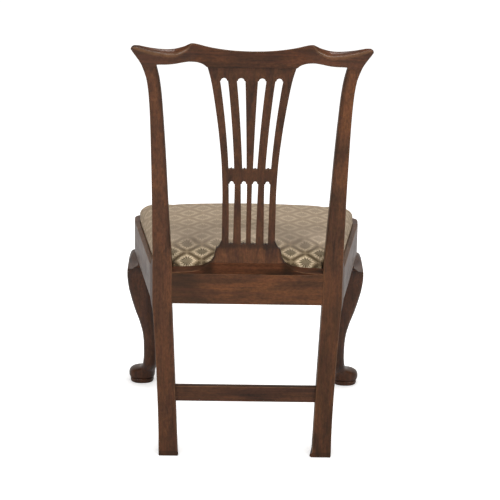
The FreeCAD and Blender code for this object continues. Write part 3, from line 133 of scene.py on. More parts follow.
@dataclass
class Section:
    """Closed section of a piece: its points and the wear and painted light of each.

    A value of 1 is pale, from wear and on the crest's ridge from a painted highlight; 0 is
    untouched; and -1 is dark, mostly with painted shade in corners and joints.
    """

    points: list[Pair] = field(default_factory=list)
    wear_and_painted_light: list[float] = field(default_factory=list)

    def add(self, point: Pair, wear_and_painted_light: float = 0.0) -> None:
        """Add one point."""
        self.points.append(point)
        self.wear_and_painted_light.append(wear_and_painted_light)

    def bend(self, start: Pair, corner: Pair, end: Pair, steps: int, wear_and_painted_light: float) -> None:
        """Add a rounded corner.

        Args:
            start: Where the rounding starts.
            corner: Corner that it cuts.
            end: Where it ends.
            steps: Number of flats in the rounding.
            wear_and_painted_light: How pale its middle is, from wear and painted highlight, or
                below 0 how dark.
        """
        for i in range(steps + 1):
            t = i / steps
            self.add(round_over(start, corner, end, t), wear_and_painted_light * math.sin(math.pi * t))

    @classmethod
    def rounded(cls, corners: Sequence[Pair], radii: Sequence[float], steps: int = 4) -> "Section":
        """Section from corners, each rounded by its radius.

        Args:
            corners: Corners in order round the section.
            radii: Distance from each corner at which its rounding starts.
            steps: Number of flats in each rounding.

        Returns:
            The section.
        """
        made = cls()
        for i, (corner, radius) in enumerate(zip(corners, radii)):
            ends = []
            for other in (corners[i - 1], corners[(i + 1) % len(corners)]):
                length = math.dist(corner, other)
                cut = min(radius, length * 0.49) / length
                ends.append((between(corner[0], other[0], cut), between(corner[1], other[1], cut)))
            made.bend(ends[0], corner, ends[1], steps, min(1.0, 1.6 / max(radius, 0.4)))
        return made


class Loft:
    """Mesh through a run of sections, closed at both ends."""

    def __init__(self, name: str) -> None:
        """Start an empty loft.

        Args:
            name: Name of the piece.
        """
        self.name = name
        self.points: list[np.ndarray] = []
        self.wear_and_painted_light: list[list[float]] = []

    def add(self, section: Section, place: Place) -> None:
        """Add a section, whose two coordinates place turns into a point of the frame."""
        self.points.append(np.array([place(a, b) for a, b in section.points]))
        self.wear_and_painted_light.append(section.wear_and_painted_light)

    def ease_end(self, size: float, wear_and_painted_light: float = 0.9) -> None:
        """Round the last end over.

        Args:
            size: Size of the rounding.
            wear_and_painted_light: How pale the end is, or below 0 how dark.
        """
        last = self.points[-1]
        run = last.mean(0) - self.points[-2].mean(0)
        run /= np.linalg.norm(run)
        middle = last.mean(0)
        spread = np.linalg.norm(last - middle, axis=1).mean()
        self.points[-1] = last - run * size
        self.points.append(middle + (last - middle) * (1 - 0.3 * size / spread) - run * size * 0.3)
        self.points.append(middle + (last - middle) * (1 - size / spread))
        if wear_and_painted_light > 0:
            self.wear_and_painted_light[-1] = [0.3 + 0.3 * r for r in self.wear_and_painted_light[-1]]
        self.wear_and_painted_light += [[wear_and_painted_light] * len(last), [min(wear_and_painted_light, 0.2)] * len(last)]

    def flip(self) -> None:
        """Turn the run round, so that its first end comes last."""
        self.points.reverse()
        self.wear_and_painted_light.reverse()

    def build(self, side: int = 1) -> bpy.types.Object:
        """Mesh object of the loft.

        Args:
            side: 1 for the piece as given, or -1 for its mirror image.

        Returns:
            The object, in metres.
        """
        count = len(self.points[0])
        faces = []
        for row in range(len(self.points) - 1):
            low, high = row * count, (row + 1) * count
            for i in range(count):
                j = (i + 1) % count
                faces.append((low + i, low + j, high + j, high + i))
        last = (len(self.points) - 1) * count
        faces += [tuple(range(count))[::-1], tuple(range(last, last + count))]
        points = np.concatenate(self.points) * (side, 1, 1)
        return new_object(self.name, points, faces, [r for row in self.wear_and_painted_light for r in row])


def new_object(
    name: str, points: np.ndarray, faces: list[tuple[int, ...]], wear_and_painted_light: Sequence[float]
) -> bpy.types.Object:
    """Object from points in millimetres.

    Args:
        name: Name of the piece.
        points: Its points.
        faces: Indices of each face's points.
        wear_and_painted_light: How pale each point is, from wear and painted highlight, or below 0
            how dark, mostly with painted shade.

    Returns:
        The object, smooth over its roundings and crisp at its corners.
    """
    mesh = bpy.data.meshes.new(name)
    mesh.from_pydata((points * MM).tolist(), [], faces)
    attribute = mesh.attributes.new("wear_and_painted_light", "FLOAT", "POINT")
    attribute.data.foreach_set("value", np.array(wear_and_painted_light, np.float32))
    work = bmesh.new()
    work.from_mesh(mesh)
    bmesh.ops.recalc_face_normals(work, faces=work.faces)
    work.to_mesh(mesh)
    work.free()
    mesh.shade_smooth()
    mesh.set_sharp_from_angle(angle=math.radians(40))
    made = bpy.data.objects.new(name, mesh)
    bpy.context.scene.collection.objects.link(made)
    return made


def even_flats(piece: bpy.types.Object) -> bpy.types.Object:
    """Keep a piece's flats shaded as flats beside its rounded edges.

    Args:
        piece: The piece.

    Returns:
        The same piece.
    """
    modifier = piece.modifiers.new("even_flats", "WEIGHTED_NORMAL")
    modifier.keep_sharp = True
    modifier.weight = 80
    return piece


def applied(piece: bpy.types.Object) -> bpy.types.Mesh:
    """Put a piece's modifiers into its mesh.

    Args:
        piece: The piece.

    Returns:
        Its new mesh.
    """
    bpy.context.view_layer.update()
    graph = bpy.context.evaluated_depsgraph_get()
    mesh = bpy.data.meshes.new_from_object(piece.evaluated_get(graph))
    piece.modifiers.clear()
    piece.data = mesh
    return mesh


def points_of(mesh: bpy.types.Mesh) -> np.ndarray:
    """Points of a mesh, in metres."""
    return np.array([vertex.co for vertex in mesh.vertices])


def move_points(mesh: bpy.types.Mesh, points: np.ndarray) -> None:
    """Move the points of a mesh to new places, in metres."""
    mesh.vertices.foreach_set("co", points.astype(np.float32).ravel())


# Reference lines of the chair


@dataclass(frozen=True)
class Lines:
    """Lines that the chair's pieces share, in millimetres."""

    back_y: float = 171.6
    seat_height: float = 427.0
    rail_bottom: float = 350.0
    rear_rail_top: float = 421.0
    ledge: float = 415.0
    crest_joint: float = 912.0
    crest_top: float = 967.0
    seat_depth: float = 427.0
    leg_back: float = 372.0
    back_half: float = 212.0
    rail_front_half: float = 268.2
    front_half: float = 270.5
    leg_block: float = 55.0
    border: float = 12.5
    gap: float = 0.12
    post_inner: float = 168.5
    post_foot_inner: float = 152.5
    back_rake: float = 109.0
    foot_rake: float = 46.0

    def lean(self, z: float) -> float:
        """How far the back's rear face stands behind the rear rail.

        Args:
            z: Height.

        Returns:
            The distance.
        """
        if z >= self.seat_height:
            t = (z - self.seat_height) / (self.crest_top - self.seat_height)
            return self.back_rake * (0.65 * t + 0.35 * t * t)
        if z < self.rail_bottom:
            return self.foot_rake * ((self.rail_bottom - z) / self.rail_bottom) ** 1.6
        return 0.0

    def side(self, depth: float) -> float:
        """Half width of the side rails' outer faces at a depth."""
        return between(self.back_half, self.rail_front_half, depth / self.leg_back)

    def leg_inner(self, z: float) -> float:
        """Half width at a rear leg's inner face below the rails."""
        return between(self.post_foot_inner, self.post_inner, z / self.rail_bottom)


LINES = Lines()


# Finishes


def linear(code: str) -> tuple[float, float, float, float]:
    """Linear colour of an sRGB hex code.

    Args:
        code: The code, from #000000 to #FFFFFF.

    Returns:
        Red, green, blue and an alpha of 1.
    """
    shares = [int(code[i : i + 2], 16) / 255 for i in (1, 3, 5)]
    turned = [s / 12.92 if s <= 0.04045 else ((s + 0.055) / 1.055) ** 2.4 for s in shares]
    return (*turned, 1.0)


def set_inputs(tree: Tree, node: Node, inputs: dict) -> None:
    """Give a node its constants and links.

    Args:
        tree: Node tree that it is in.
        node: The node.
        inputs: Constants, or sockets to link, by the input's name or number.
    """
    for name, value in inputs.items():
        if isinstance(value, Socket):
            tree.links.new(value, node.inputs[name])
        else:
            node.inputs[name].default_value = value


def add_node(tree: Tree, kind: str, inputs: dict | None = None, **settings: object) -> Node:
    """Add a node with its settings and links.

    Args:
        tree: Node tree that it goes in.
        kind: Node type, without its prefix.
        inputs: Constants, or sockets to link, by the input's name or number.
        **settings: Properties of the node itself.

    Returns:
        The node.
    """
    made = tree.nodes.new(f"ShaderNode{kind}")
    for name, value in settings.items():
        setattr(made, name, value)
    set_inputs(tree, made, inputs or {})
    return made


def set_stops(ramp: Node, stops: Sequence[tuple[float, str]]) -> None:
    """Give a colour ramp its stops.

    Args:
        ramp: The ramp's node.
        stops: Places from 0 to 1 and hex codes.
    """
    line = ramp.color_ramp
    while len(line.elements) > 1:
        line.elements.remove(line.elements[-1])
    line.elements[0].position = stops[0][0]
    line.elements[0].color = linear(stops[0][1])
    for place, code in stops[1:]:
        line.elements.new(place).color = linear(code)


class Grain(Enum):
    """Way the grain runs in a piece: which axis comes first, second and third."""

    UPRIGHT = ("Z", "X", "Y")
    ACROSS = ("X", "Z", "Y")
    FORWARD = ("Y", "X", "Z")


@dataclass(frozen=True)
class Finish:
    """A material by its common name and how its surface was made."""

    name: str

    def surface(self, tree: Tree) -> dict:
        """Constants and sockets for the surface shader, by input name."""
        raise NotImplementedError

    def build(self) -> bpy.types.Material:
        """Make the material.

        Returns:
            The material.
        """
        made = bpy.data.materials.new(self.name)
        made.use_nodes = True
        tree = made.node_tree
        set_inputs(tree, tree.nodes["Principled BSDF"], self.surface(tree))
        return made

    def along(self, tree: Tree, grain: Grain, shift: float, pitches: Triple) -> Socket:
        """Coordinates that count pattern repeats along and across the grain.

        Args:
            tree: Node tree.
            grain: Way the grain runs.
            shift: Offset in metres, so that no two pieces match.
            pitches: Repeat in millimetres along the grain and both ways across it.

        Returns:
            Output socket of the coordinates.
        """
        place = add_node(tree, "TexCoord").outputs["Object"]
        axes = add_node(tree, "SeparateXYZ", {0: place}).outputs
        turned = add_node(tree, "CombineXYZ", {i: axes[a] for i, a in enumerate(grain.value)})
        inputs = {
            "Vector": turned.outputs[0],
            "Location": (shift * 3.1, shift * 7.7, shift * 5.3),
            "Scale": tuple(1 / (pitch * MM) for pitch in pitches),
        }
        return add_node(tree, "Mapping", inputs).outputs[0]


@dataclass(frozen=True)
class WaxedMahogany(Finish):
    """Mahogany, planed, stained and waxed over many years.

    The eye reads a red-brown ground, finely mottled with pores and old polish,
    faint streaks along the grain, a darker film in places, paler worn edges, a painted
    highlight along the crest's ridge, and painted shade in corners and joints.
    """

    grain: Grain = Grain.UPRIGHT
    shift: float = 0.0
    dark: str = "#392210"
    middle: str = "#523320"
    light: str = "#633D24"
    film_tone: str = "#2A1B0F"
    # Pale colour of worn edges and of the painted highlight on the crest's ridge.
    pale_wear_and_highlight: str = "#77583F"
    streak_pitch: float = 3.2
    figure_pitch: float = 30.0
    roughness: float = 0.46
    wax: float = 0.16
    # Distances from the middle, in millimetres, between which hands have polished it up.
    polished: Pair | None = None
    polish_rise: float = 0.12
    film_share: float = 0.45
    specular: float = 0.2
    # Where a darker stretch starts and ends along an axis, in millimetres.
    stain_axis: int = 0
    stain: Pair = (1e6, 2e6)
    stain_share: float = 0.62

    def patterns(self, tree: Tree) -> dict[str, Socket]:
        """Noises drawn out along the grain.

        Args:
            tree: Node tree.

        Returns:
            Their sockets by name.
        """
        wide, fine = self.figure_pitch, self.streak_pitch
        # Name, shift, repeats along and across the grain, detail, roughness, distortion.
        rows = (
            ("figure", 0.7, (150.0, wide, wide), 3.0, 0.55, 0.5),
            ("streaks", 0.0, (95.0, fine, fine), 4.0, 0.6, 0.0),
            ("mottle", 0.2, (9.0, 4.5, 4.5), 4.0, 0.7, 0.0),
            ("film", 1.9, (62.0, 34.0, 34.0), 5.0, 0.62, 0.0),
            ("pores", 0.3, (7.0, 1.1, 1.1), 2.0, 0.5, 0.0),
            ("warm", 2.6, (170.0, 4.5, 4.5), 3.0, 0.5, 0.0),
        )
        names = ("Vector", "Scale", "Detail", "Roughness", "Distortion")
        made = {}
        for name, shift, pitches, *values in rows:
            place = self.along(tree, self.grain, self.shift + shift, pitches)
            inputs = dict(zip(names, (place, 1.0, *values)))
            made[name] = add_node(tree, "TexNoise", inputs).outputs[0]
        return made

    def surface(self, tree: Tree) -> dict:
        """Surface with figure, mottle, streaks, pores, wax film, worn edges, painted highlights and
        painted shade.

        Args:
            tree: Node tree.

        Returns:
            Constants and sockets by input name.
        """
        node = partial(add_node, tree)
        noise = self.patterns(tree)
        place = node("TexCoord").outputs["Object"]
        axes = node("SeparateXYZ", {0: place}).outputs
        wear_and_painted_light = node("Attribute", attribute_name="wear_and_painted_light").outputs["Fac"]
        # Name, operation and terms.
        sums = (
            ("wander", "MULTIPLY_ADD", noise["film"], 0.09, axes[self.stain_axis]),
            ("worn", "MULTIPLY", wear_and_painted_light, noise["mottle"]),
            ("relief", "SUBTRACT", noise["mottle"], noise["pores"]),
        )
        sockets = {}
        for name, operation, *terms in sums:
            inputs = dict(enumerate(terms))
            sockets[name] = node("Math", inputs, operation=operation).outputs[0]
        # Name, source, the range that it is read over, and the range that it gives.
        rough = self.roughness
        ranges = [
            ("streaks", noise["streaks"], (0.34, 0.62), (0.76, 1.08)),
            ("mottle", noise["mottle"], (0.38, 0.60), (0.69, 1.10)),
            ("gloss", noise["film"], (0.3, 0.7), (rough - 0.06, rough + 0.10)),
        ]
        if self.polished:
            aside = node("Math", {0: axes[0]}, operation="ABSOLUTE").outputs[0]
            reach = tuple(distance * MM for distance in self.polished)
            ranges.append(("wax", aside, reach, (self.wax, self.wax + self.polish_rise)))
        for name, source, read, given in ranges:
            inputs = dict(enumerate((source, *read, *given)))
            sockets[name] = node("MapRange", inputs).outputs[0]
        ramp = node("ValToRGB", {0: noise["figure"]})
        set_stops(
            ramp, ((0.30, self.dark), (0.46, self.middle), (0.60, self.light), (0.74, self.middle))
        )
        tone = ramp.outputs[0]
        for name in ("streaks", "mottle"):
            tone = node("VectorMath", {0: tone, 3: sockets[name]}, operation="SCALE").outputs[0]
        stain_ends = tuple(end * MM + 0.045 for end in self.stain)
        # Colour laid over, what shows it, the range that is read over, and its most.
        layers = (
            (self.film_tone, noise["film"], (0.45, 0.68), self.film_share),
            (self.film_tone, sockets["wander"], stain_ends, self.stain_share),
            ("#5C3123", noise["warm"], (0.47, 0.60), 0.22),
            (GRIME_AND_SHADE, noise["pores"], (0.60, 0.70), 0.40),
            # Pale worn edges, and the painted highlight where the channel marks the crest's ridge.
            (self.pale_wear_and_highlight, sockets["worn"], (0.0, 1.0), 1.0),
            # Painted shade, with darker feet and joints, where the channel is below 0.
            (GRIME_AND_SHADE, wear_and_painted_light, (0.0, -1.0), 0.75),
        )
        for over, source, read, most in layers:
            share = node("MapRange", dict(enumerate((source, *read, 0.0, most)))).outputs[0]
            mix = node("Mix", {0: share, 6: tone, 7: linear(over)}, data_type="RGBA")
            tone = mix.outputs[2]
        bump = node("Bump", {"Strength": 0.22, "Distance": 0.00015, "Height": sockets["relief"]})
        # Beeswax over shellac: a dielectric film with an index near 1.45.
        return {
            "Base Color": tone, "Roughness": sockets["gloss"], "Normal": bump.outputs[0],
            "IOR": 1.45, "Specular IOR Level": self.specular,
            "Coat Weight": sockets.get("wax", self.wax),
            "Coat Roughness": 0.18, "Coat IOR": 1.45,
        }


@dataclass(frozen=True)
class RawTimber(Finish):
    """Softwood or beech left from the saw or plane, dry and unfinished.

    It looks matt and pale, with faint grain and yellow-brown age.
    """

    grain: Grain = Grain.ACROSS
    early: str = "#A9855A"
    late: str = "#8A6540"
    dirt: str = "#5B4630"
    ring_pitch: float = 5.0
    saw_pitch: float = 1.6

    def surface(self, tree: Tree) -> dict:
        """Surface with growth rings, saw marks and grime.

        Args:
            tree: Node tree.

        Returns:
            Constants and sockets by input name.
        """
        node = partial(add_node, tree)
        # Name, kind, shift, repeats along and across the grain, and settings.
        rows = (
            ("rings", "TexNoise", 0.4, (120.0, self.ring_pitch, self.ring_pitch),
             {"Detail": 4.0, "Roughness": 0.6}),
            ("dirt_and_shade", "TexNoise", 1.4, (35.0, 30.0, 30.0), {"Detail": 3.0}),
            ("saw", "TexWave", 0.9, (self.saw_pitch * 6, 60.0, 60.0), {"Distortion": 1.5}),
        )
        pattern = {}
        for name, kind, shift, pitches, values in rows:
            place = self.along(tree, self.grain, shift, pitches)
            pattern[name] = node(kind, {"Vector": place, "Scale": 1.0, **values}).outputs[0]
        base = node("ValToRGB", {0: pattern["rings"]})
        set_stops(base, ((0.38, self.late), (0.52, self.early), (0.68, self.late)))
        dirt = node("MapRange", {0: pattern["dirt_and_shade"], 1: 0.45, 2: 0.75, 3: 0.0, 4: 0.55})
        layers = {0: dirt.outputs[0], 6: base.outputs[0], 7: linear(self.dirt)}
        aged = node("Mix", layers, data_type="RGBA")
        bump = node("Bump", {"Strength": 0.2, "Distance": 0.0001, "Height": pattern["saw"]})
        return {
            "Base Color": aged.outputs[2], "Normal": bump.outputs[0], "Roughness": 0.78, "IOR": 1.5,
        }


@dataclass(frozen=True)
class PlainWeave(Finish):
    """Jute or hessian, spun coarse and woven plain.

    It gives a dull straw-brown cloth whose single threads cross over and under.
    """

    thread_pitch: float = 1.8
    pale: str = "#A08A64"
    deep: str = "#5E4B31"

    def surface(self, tree: Tree) -> dict:
        """Surface with crossing threads.

        Args:
            tree: Node tree.

        Returns:
            Constants and sockets by input name.
        """
        node = partial(add_node, tree)
        place = node("TexCoord").outputs["Object"]
        repeat = 1 / (self.thread_pitch * MM)
        scaled = node("Mapping", {"Vector": place, "Scale": (repeat, repeat, repeat)}).outputs[0]
        waves = []
        for axis in ("X", "Y"):
            inputs = {"Vector": scaled, "Scale": WAVE_UNIT, "Distortion": 0.4}
            waves.append(node("TexWave", inputs, bands_direction=axis).outputs["Fac"])
        threads = node("Math", {0: waves[0], 1: waves[1]}, operation="MULTIPLY")
        slubs = node("TexNoise", {"Vector": scaled, "Scale": 0.35, "Detail": 3.0})
        sums = {0: threads.outputs[0], 1: slubs.outputs[0]}
        height = node("Math", sums, operation="ADD").outputs[0]
        base = node("ValToRGB", {0: height})
        set_stops(base, ((0.35, self.deep), (0.9, self.pale)))
        bump = node("Bump", {"Strength": 0.7, "Distance": 0.0005, "Height": height})
        return {
            "Base Color": base.outputs[0], "Normal": bump.outputs[0], "Roughness": 0.92, "IOR": 1.5,
        }


@dataclass(frozen=True)
class CurledHair(Finish):
    """Curled horsehair, teased into a springy dark mat with pale single hairs."""

    curl_pitch: float = 3.0

    def surface(self, tree: Tree) -> dict:
        """Surface of tangled dark curls.

        Args:
            tree: Node tree.

        Returns:
            Constants and sockets by input name.
        """
        node = partial(add_node, tree)
        place = node("TexCoord").outputs["Object"]
        repeat = 1 / (self.curl_pitch * MM)
        inputs = {"Vector": place, "Scale": repeat, "Detail": 6.0, "Distortion": 3.0}
        curls = node("TexNoise", inputs).outputs[0]
        base = node("ValToRGB", {0: curls})
        set_stops(base, ((0.4, "#17110D"), (0.55, "#3A2C22"), (0.72, "#6A5644")))
        bump = node("Bump", {"Strength": 0.9, "Distance": 0.0015, "Height": curls})
        return {"Base Color": base.outputs[0], "Normal": bump.outputs[0], "Roughness": 0.8}


@dataclass(frozen=True)
class LozengeWeave(Finish):
    """Wool and linen seat cloth, woven with a lattice of stepped lozenges.

    The eye reads pale stepped rings on a darker olive-brown lattice, a tufted
    darker heart in each lozenge, and a dry, furry surface that is paler and flatter
    over the crown, partly from wear and partly as painted sheen.
    """

    ring: str = "#D2C0A2"
    within: str = "#988568"
    heart: str = "#473B25"
    lattice: str = "#594A36"
    ground: str = "#857357"
    worn: str = "#AC9A86"
    pale_band: str = "#D0BEAA"
    fleck: str = "#4F4330"
    sheen: str = "#CDBBA4"
    thread_pitch: float = 1.3
    lozenge_width: float = 68.0
    # Strokes that run out from the middle of each heart and notch its ring.
    strokes: float = 14.0
    # Lozenges forward of the third row, where the crown's paleness starts and where it is full:
    # partly wear, partly painted sheen.
    roll: float = -0.65
    crown: float = 0.68

    def patterns(self, tree: Tree) -> dict[str, Socket]:
        """Coordinates, noises and threads of the cloth.

        Args:
            tree: Node tree.

        Returns:
            Their sockets by name.
        """
        place = add_node(tree, "UVMap", uv_map="weave").outputs[0]
        # The pattern steps by one twentieth of a lozenge, three threads at a time.
        inputs = {0: place, 1: (0.05, 0.05, 0.05)}
        stepped = add_node(tree, "VectorMath", inputs, operation="SNAP").outputs[0]
        made = {}
        for kind, vector in (("", stepped), ("raw_", place)):
            axes = add_node(tree, "SeparateXYZ", {0: vector}).outputs
            made[f"{kind}across"], made[f"{kind}along"] = axes[0], axes[1]
        noises = (("tufts", 24.0, 3.0), ("fine", 70.0, 2.0), ("patches", 1.3, 4.0))
        for name, scale, detail in noises:
            inputs = {"Vector": place, "Scale": scale, "Detail": detail}
            made[name] = add_node(tree, "TexNoise", inputs).outputs[0]
        repeat = self.lozenge_width / self.thread_pitch * WAVE_UNIT
        for name, axis in (("warp", "X"), ("weft", "Y")):
            inputs = {"Vector": place, "Scale": repeat, "Distortion": 0.6}
            made[name] = add_node(tree, "TexWave", inputs, bands_direction=axis).outputs["Fac"]
        return made

    def surface(self, tree: Tree) -> dict:
        """Surface with the lattice, its rings and hearts, wear and painted sheen, threads and fuzz.

        Args:
            tree: Node tree.

        Returns:
            Constants and sockets by input name.
        """
        found = self.patterns(tree)
        # Name, operation and terms, each a number or a name from above. A RANGE has its
        # source, the two ends that it is read between, and what it gives at each.
        rows = (
            ("sum", "ADD", "across", "along"),
            ("gap", "SUBTRACT", "across", "along"),
            ("off_sum", "PINGPONG", "sum", 0.5),
            ("off_gap", "PINGPONG", "gap", 0.5),
            ("far", "MAXIMUM", "off_sum", "off_gap"),
            ("near", "MINIMUM", "off_sum", "off_gap"),
            ("both", "ADD", "off_sum", "off_gap"),
            ("reach", "MULTIPLY_ADD", "both", 0.25, "far"),
            ("inner", "SUBTRACT", "reach", 0.04),
            ("ragged", "MULTIPLY_ADD", "tufts", 0.08, "inner"),
            ("heart", "RANGE", "ragged", 0.33, 0.27, 0.0, 1.0),
            # Bearing of each point from the middle of its lozenge.
            ("raw_sum", "ADD", "raw_across", "raw_along"),
            ("raw_gap", "SUBTRACT", "raw_across", "raw_along"),
            ("whole_sum", "ROUND", "raw_sum"),
            ("whole_gap", "ROUND", "raw_gap"),
            ("from_sum", "SUBTRACT", "raw_sum", "whole_sum"),
            ("from_gap", "SUBTRACT", "raw_gap", "whole_gap"),
            ("rise", "SUBTRACT", "from_sum", "from_gap"),
            ("run", "ADD", "from_sum", "from_gap"),
            ("bearing", "ARCTAN2", "rise", "run"),
            ("turns", "MULTIPLY", "bearing", self.strokes / math.tau),
            ("rays", "PINGPONG", "turns", 0.5),
            ("notched", "MULTIPLY_ADD", "rays", 0.40, "ragged"),
            ("ring", "RANGE", "notched", 0.44, 0.465, 0.0, 1.0),
            ("stroke", "RANGE", "rays", 0.25, 0.40, 0.0, 0.55),
            ("tuft", "MULTIPLY", "stroke", "heart"),
            ("outside", "RANGE", "ragged", 0.445, 0.465, 0.0, 1.0),
            ("ripple", "MULTIPLY_ADD", "tufts", 0.06, -0.03),
            ("band", "ADD", "far", "ripple"),
            ("lattice", "RANGE", "band", 0.395, 0.42, 0.0, 1.0),
            ("crossing", "ADD", "near", "ripple"),
            ("ground", "RANGE", "crossing", 0.38, 0.42, 0.0, 1.0),
            ("fleck", "RANGE", "fine", 0.52, 0.68, 0.0, 0.45),
            ("patch", "SUBTRACT", "patches", 0.5),
            # Paler towards the crown: partly wear, partly painted sheen of the pile.
            ("crown", "RANGE", "along", self.roll, self.crown, 0.0, 0.64),
            ("wear_and_sheen", "MULTIPLY_ADD", "patch", 0.35, "crown"),
            ("worn", "RANGE", "wear_and_sheen", 0.0, 1.0, 0.0, 1.0),
            # A paler band across the top, strongest just forward of the rear roll and fading
            # towards the front.
            ("front_fade", "RANGE", "along", 2.2, 0.4, 0.0, 0.26),
            ("rear_fade", "RANGE", "along", -0.4, 0.3, 0.0, 1.0),
            ("pale_band", "MULTIPLY", "front_fade", "rear_fade"),
            ("threads", "MULTIPLY", "warp", "weft"),
            ("raised", "MULTIPLY_ADD", "ring", 1.6, "threads"),
        )
        for name, operation, *terms in rows:
            inputs = {i: found.get(term, term) for i, term in enumerate(terms)}
            kind, settings = "Math", {"operation": operation}
            if operation == "RANGE":
                kind, settings = "MapRange", {}
            found[name] = add_node(tree, kind, inputs, **settings).outputs[0]
        tone = linear(self.within)
        # Colours laid over, each by its share.
        layers = (
            (self.heart, "heart"), (self.ring, "tuft"), (self.ring, "ring"),
            (self.within, "outside"), (self.lattice, "lattice"), (self.ground, "ground"),
            (self.fleck, "fleck"), (self.worn, "worn"), (self.pale_band, "pale_band"),
        )
        for over, share in layers:
            inputs = {0: found[share], 6: tone, 7: linear(over)}
            tone = add_node(tree, "Mix", inputs, data_type="RGBA").outputs[2]
        relief = {"Strength": 0.6, "Distance": 0.0005, "Height": found["raised"]}
        bump = add_node(tree, "Bump", relief)
        return {
            "Base Color": tone, "Normal": bump.outputs[0], "Roughness": 0.92, "IOR": 1.46,
            "Specular IOR Level": 0.25, "Sheen Weight": 0.18, "Sheen Roughness": 0.5,
            "Sheen Tint": linear(self.sheen),
        }


@dataclass(frozen=True)
class BluedSteel(Finish):
    """Steel tacks, cut and heat-blued: near black with a dull blue gloss and rust specks."""

    rust_pitch: float = 1.5

    def surface(self, tree: Tree) -> dict:
        """Surface of dark metal with specks of rust.

        Args:
            tree: Node tree.

        Returns:
            Constants and sockets by input name.
        """
        node = partial(add_node, tree)
        place = node("TexCoord").outputs["Object"]
        repeat = 1 / (self.rust_pitch * MM)
        specks = node("TexNoise", {"Vector": place, "Scale": repeat, "Detail": 3.0}).outputs[0]
        base = node("ValToRGB", {0: specks})
        set_stops(base, ((0.5, "#2B2D33"), (0.62, "#3A3330"), (0.7, "#5A3A28")))
        dull = node("MapRange", {0: specks, 1: 0.4, 2: 0.7, 3: 0.35, 4: 0.75})
        return {"Base Color": base.outputs[0], "Roughness": dull.outputs[0], "Metallic": 0.9}


def dress(piece: bpy.types.Object, finish: Finish) -> bpy.types.Object:
    """Give a piece one finish over all its faces.

    Args:
        piece: The piece.
        finish: Its finish, whose material is made when it is first used.

    Returns:
        The same piece.
    """
    material = bpy.data.materials.get(finish.name) or finish.build()
    piece.data.materials.clear()
    piece.data.materials.append(material)
    return piece


def hand_over(piece: bpy.types.Object, body: str, slot: str, *nodes: str) -> None:
    """Tie a finished piece to its body.

    Args:
        piece: The piece.
        body: Body that it rides on.
        slot: Material slot of the record; not used.
        *nodes: Solids that it stands for.
    """
    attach(piece, body)
    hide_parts(*nodes)
    LOG.info("%s: %d faces on %s", piece.name, len(piece.data.polygons), body)


# Back of the chair


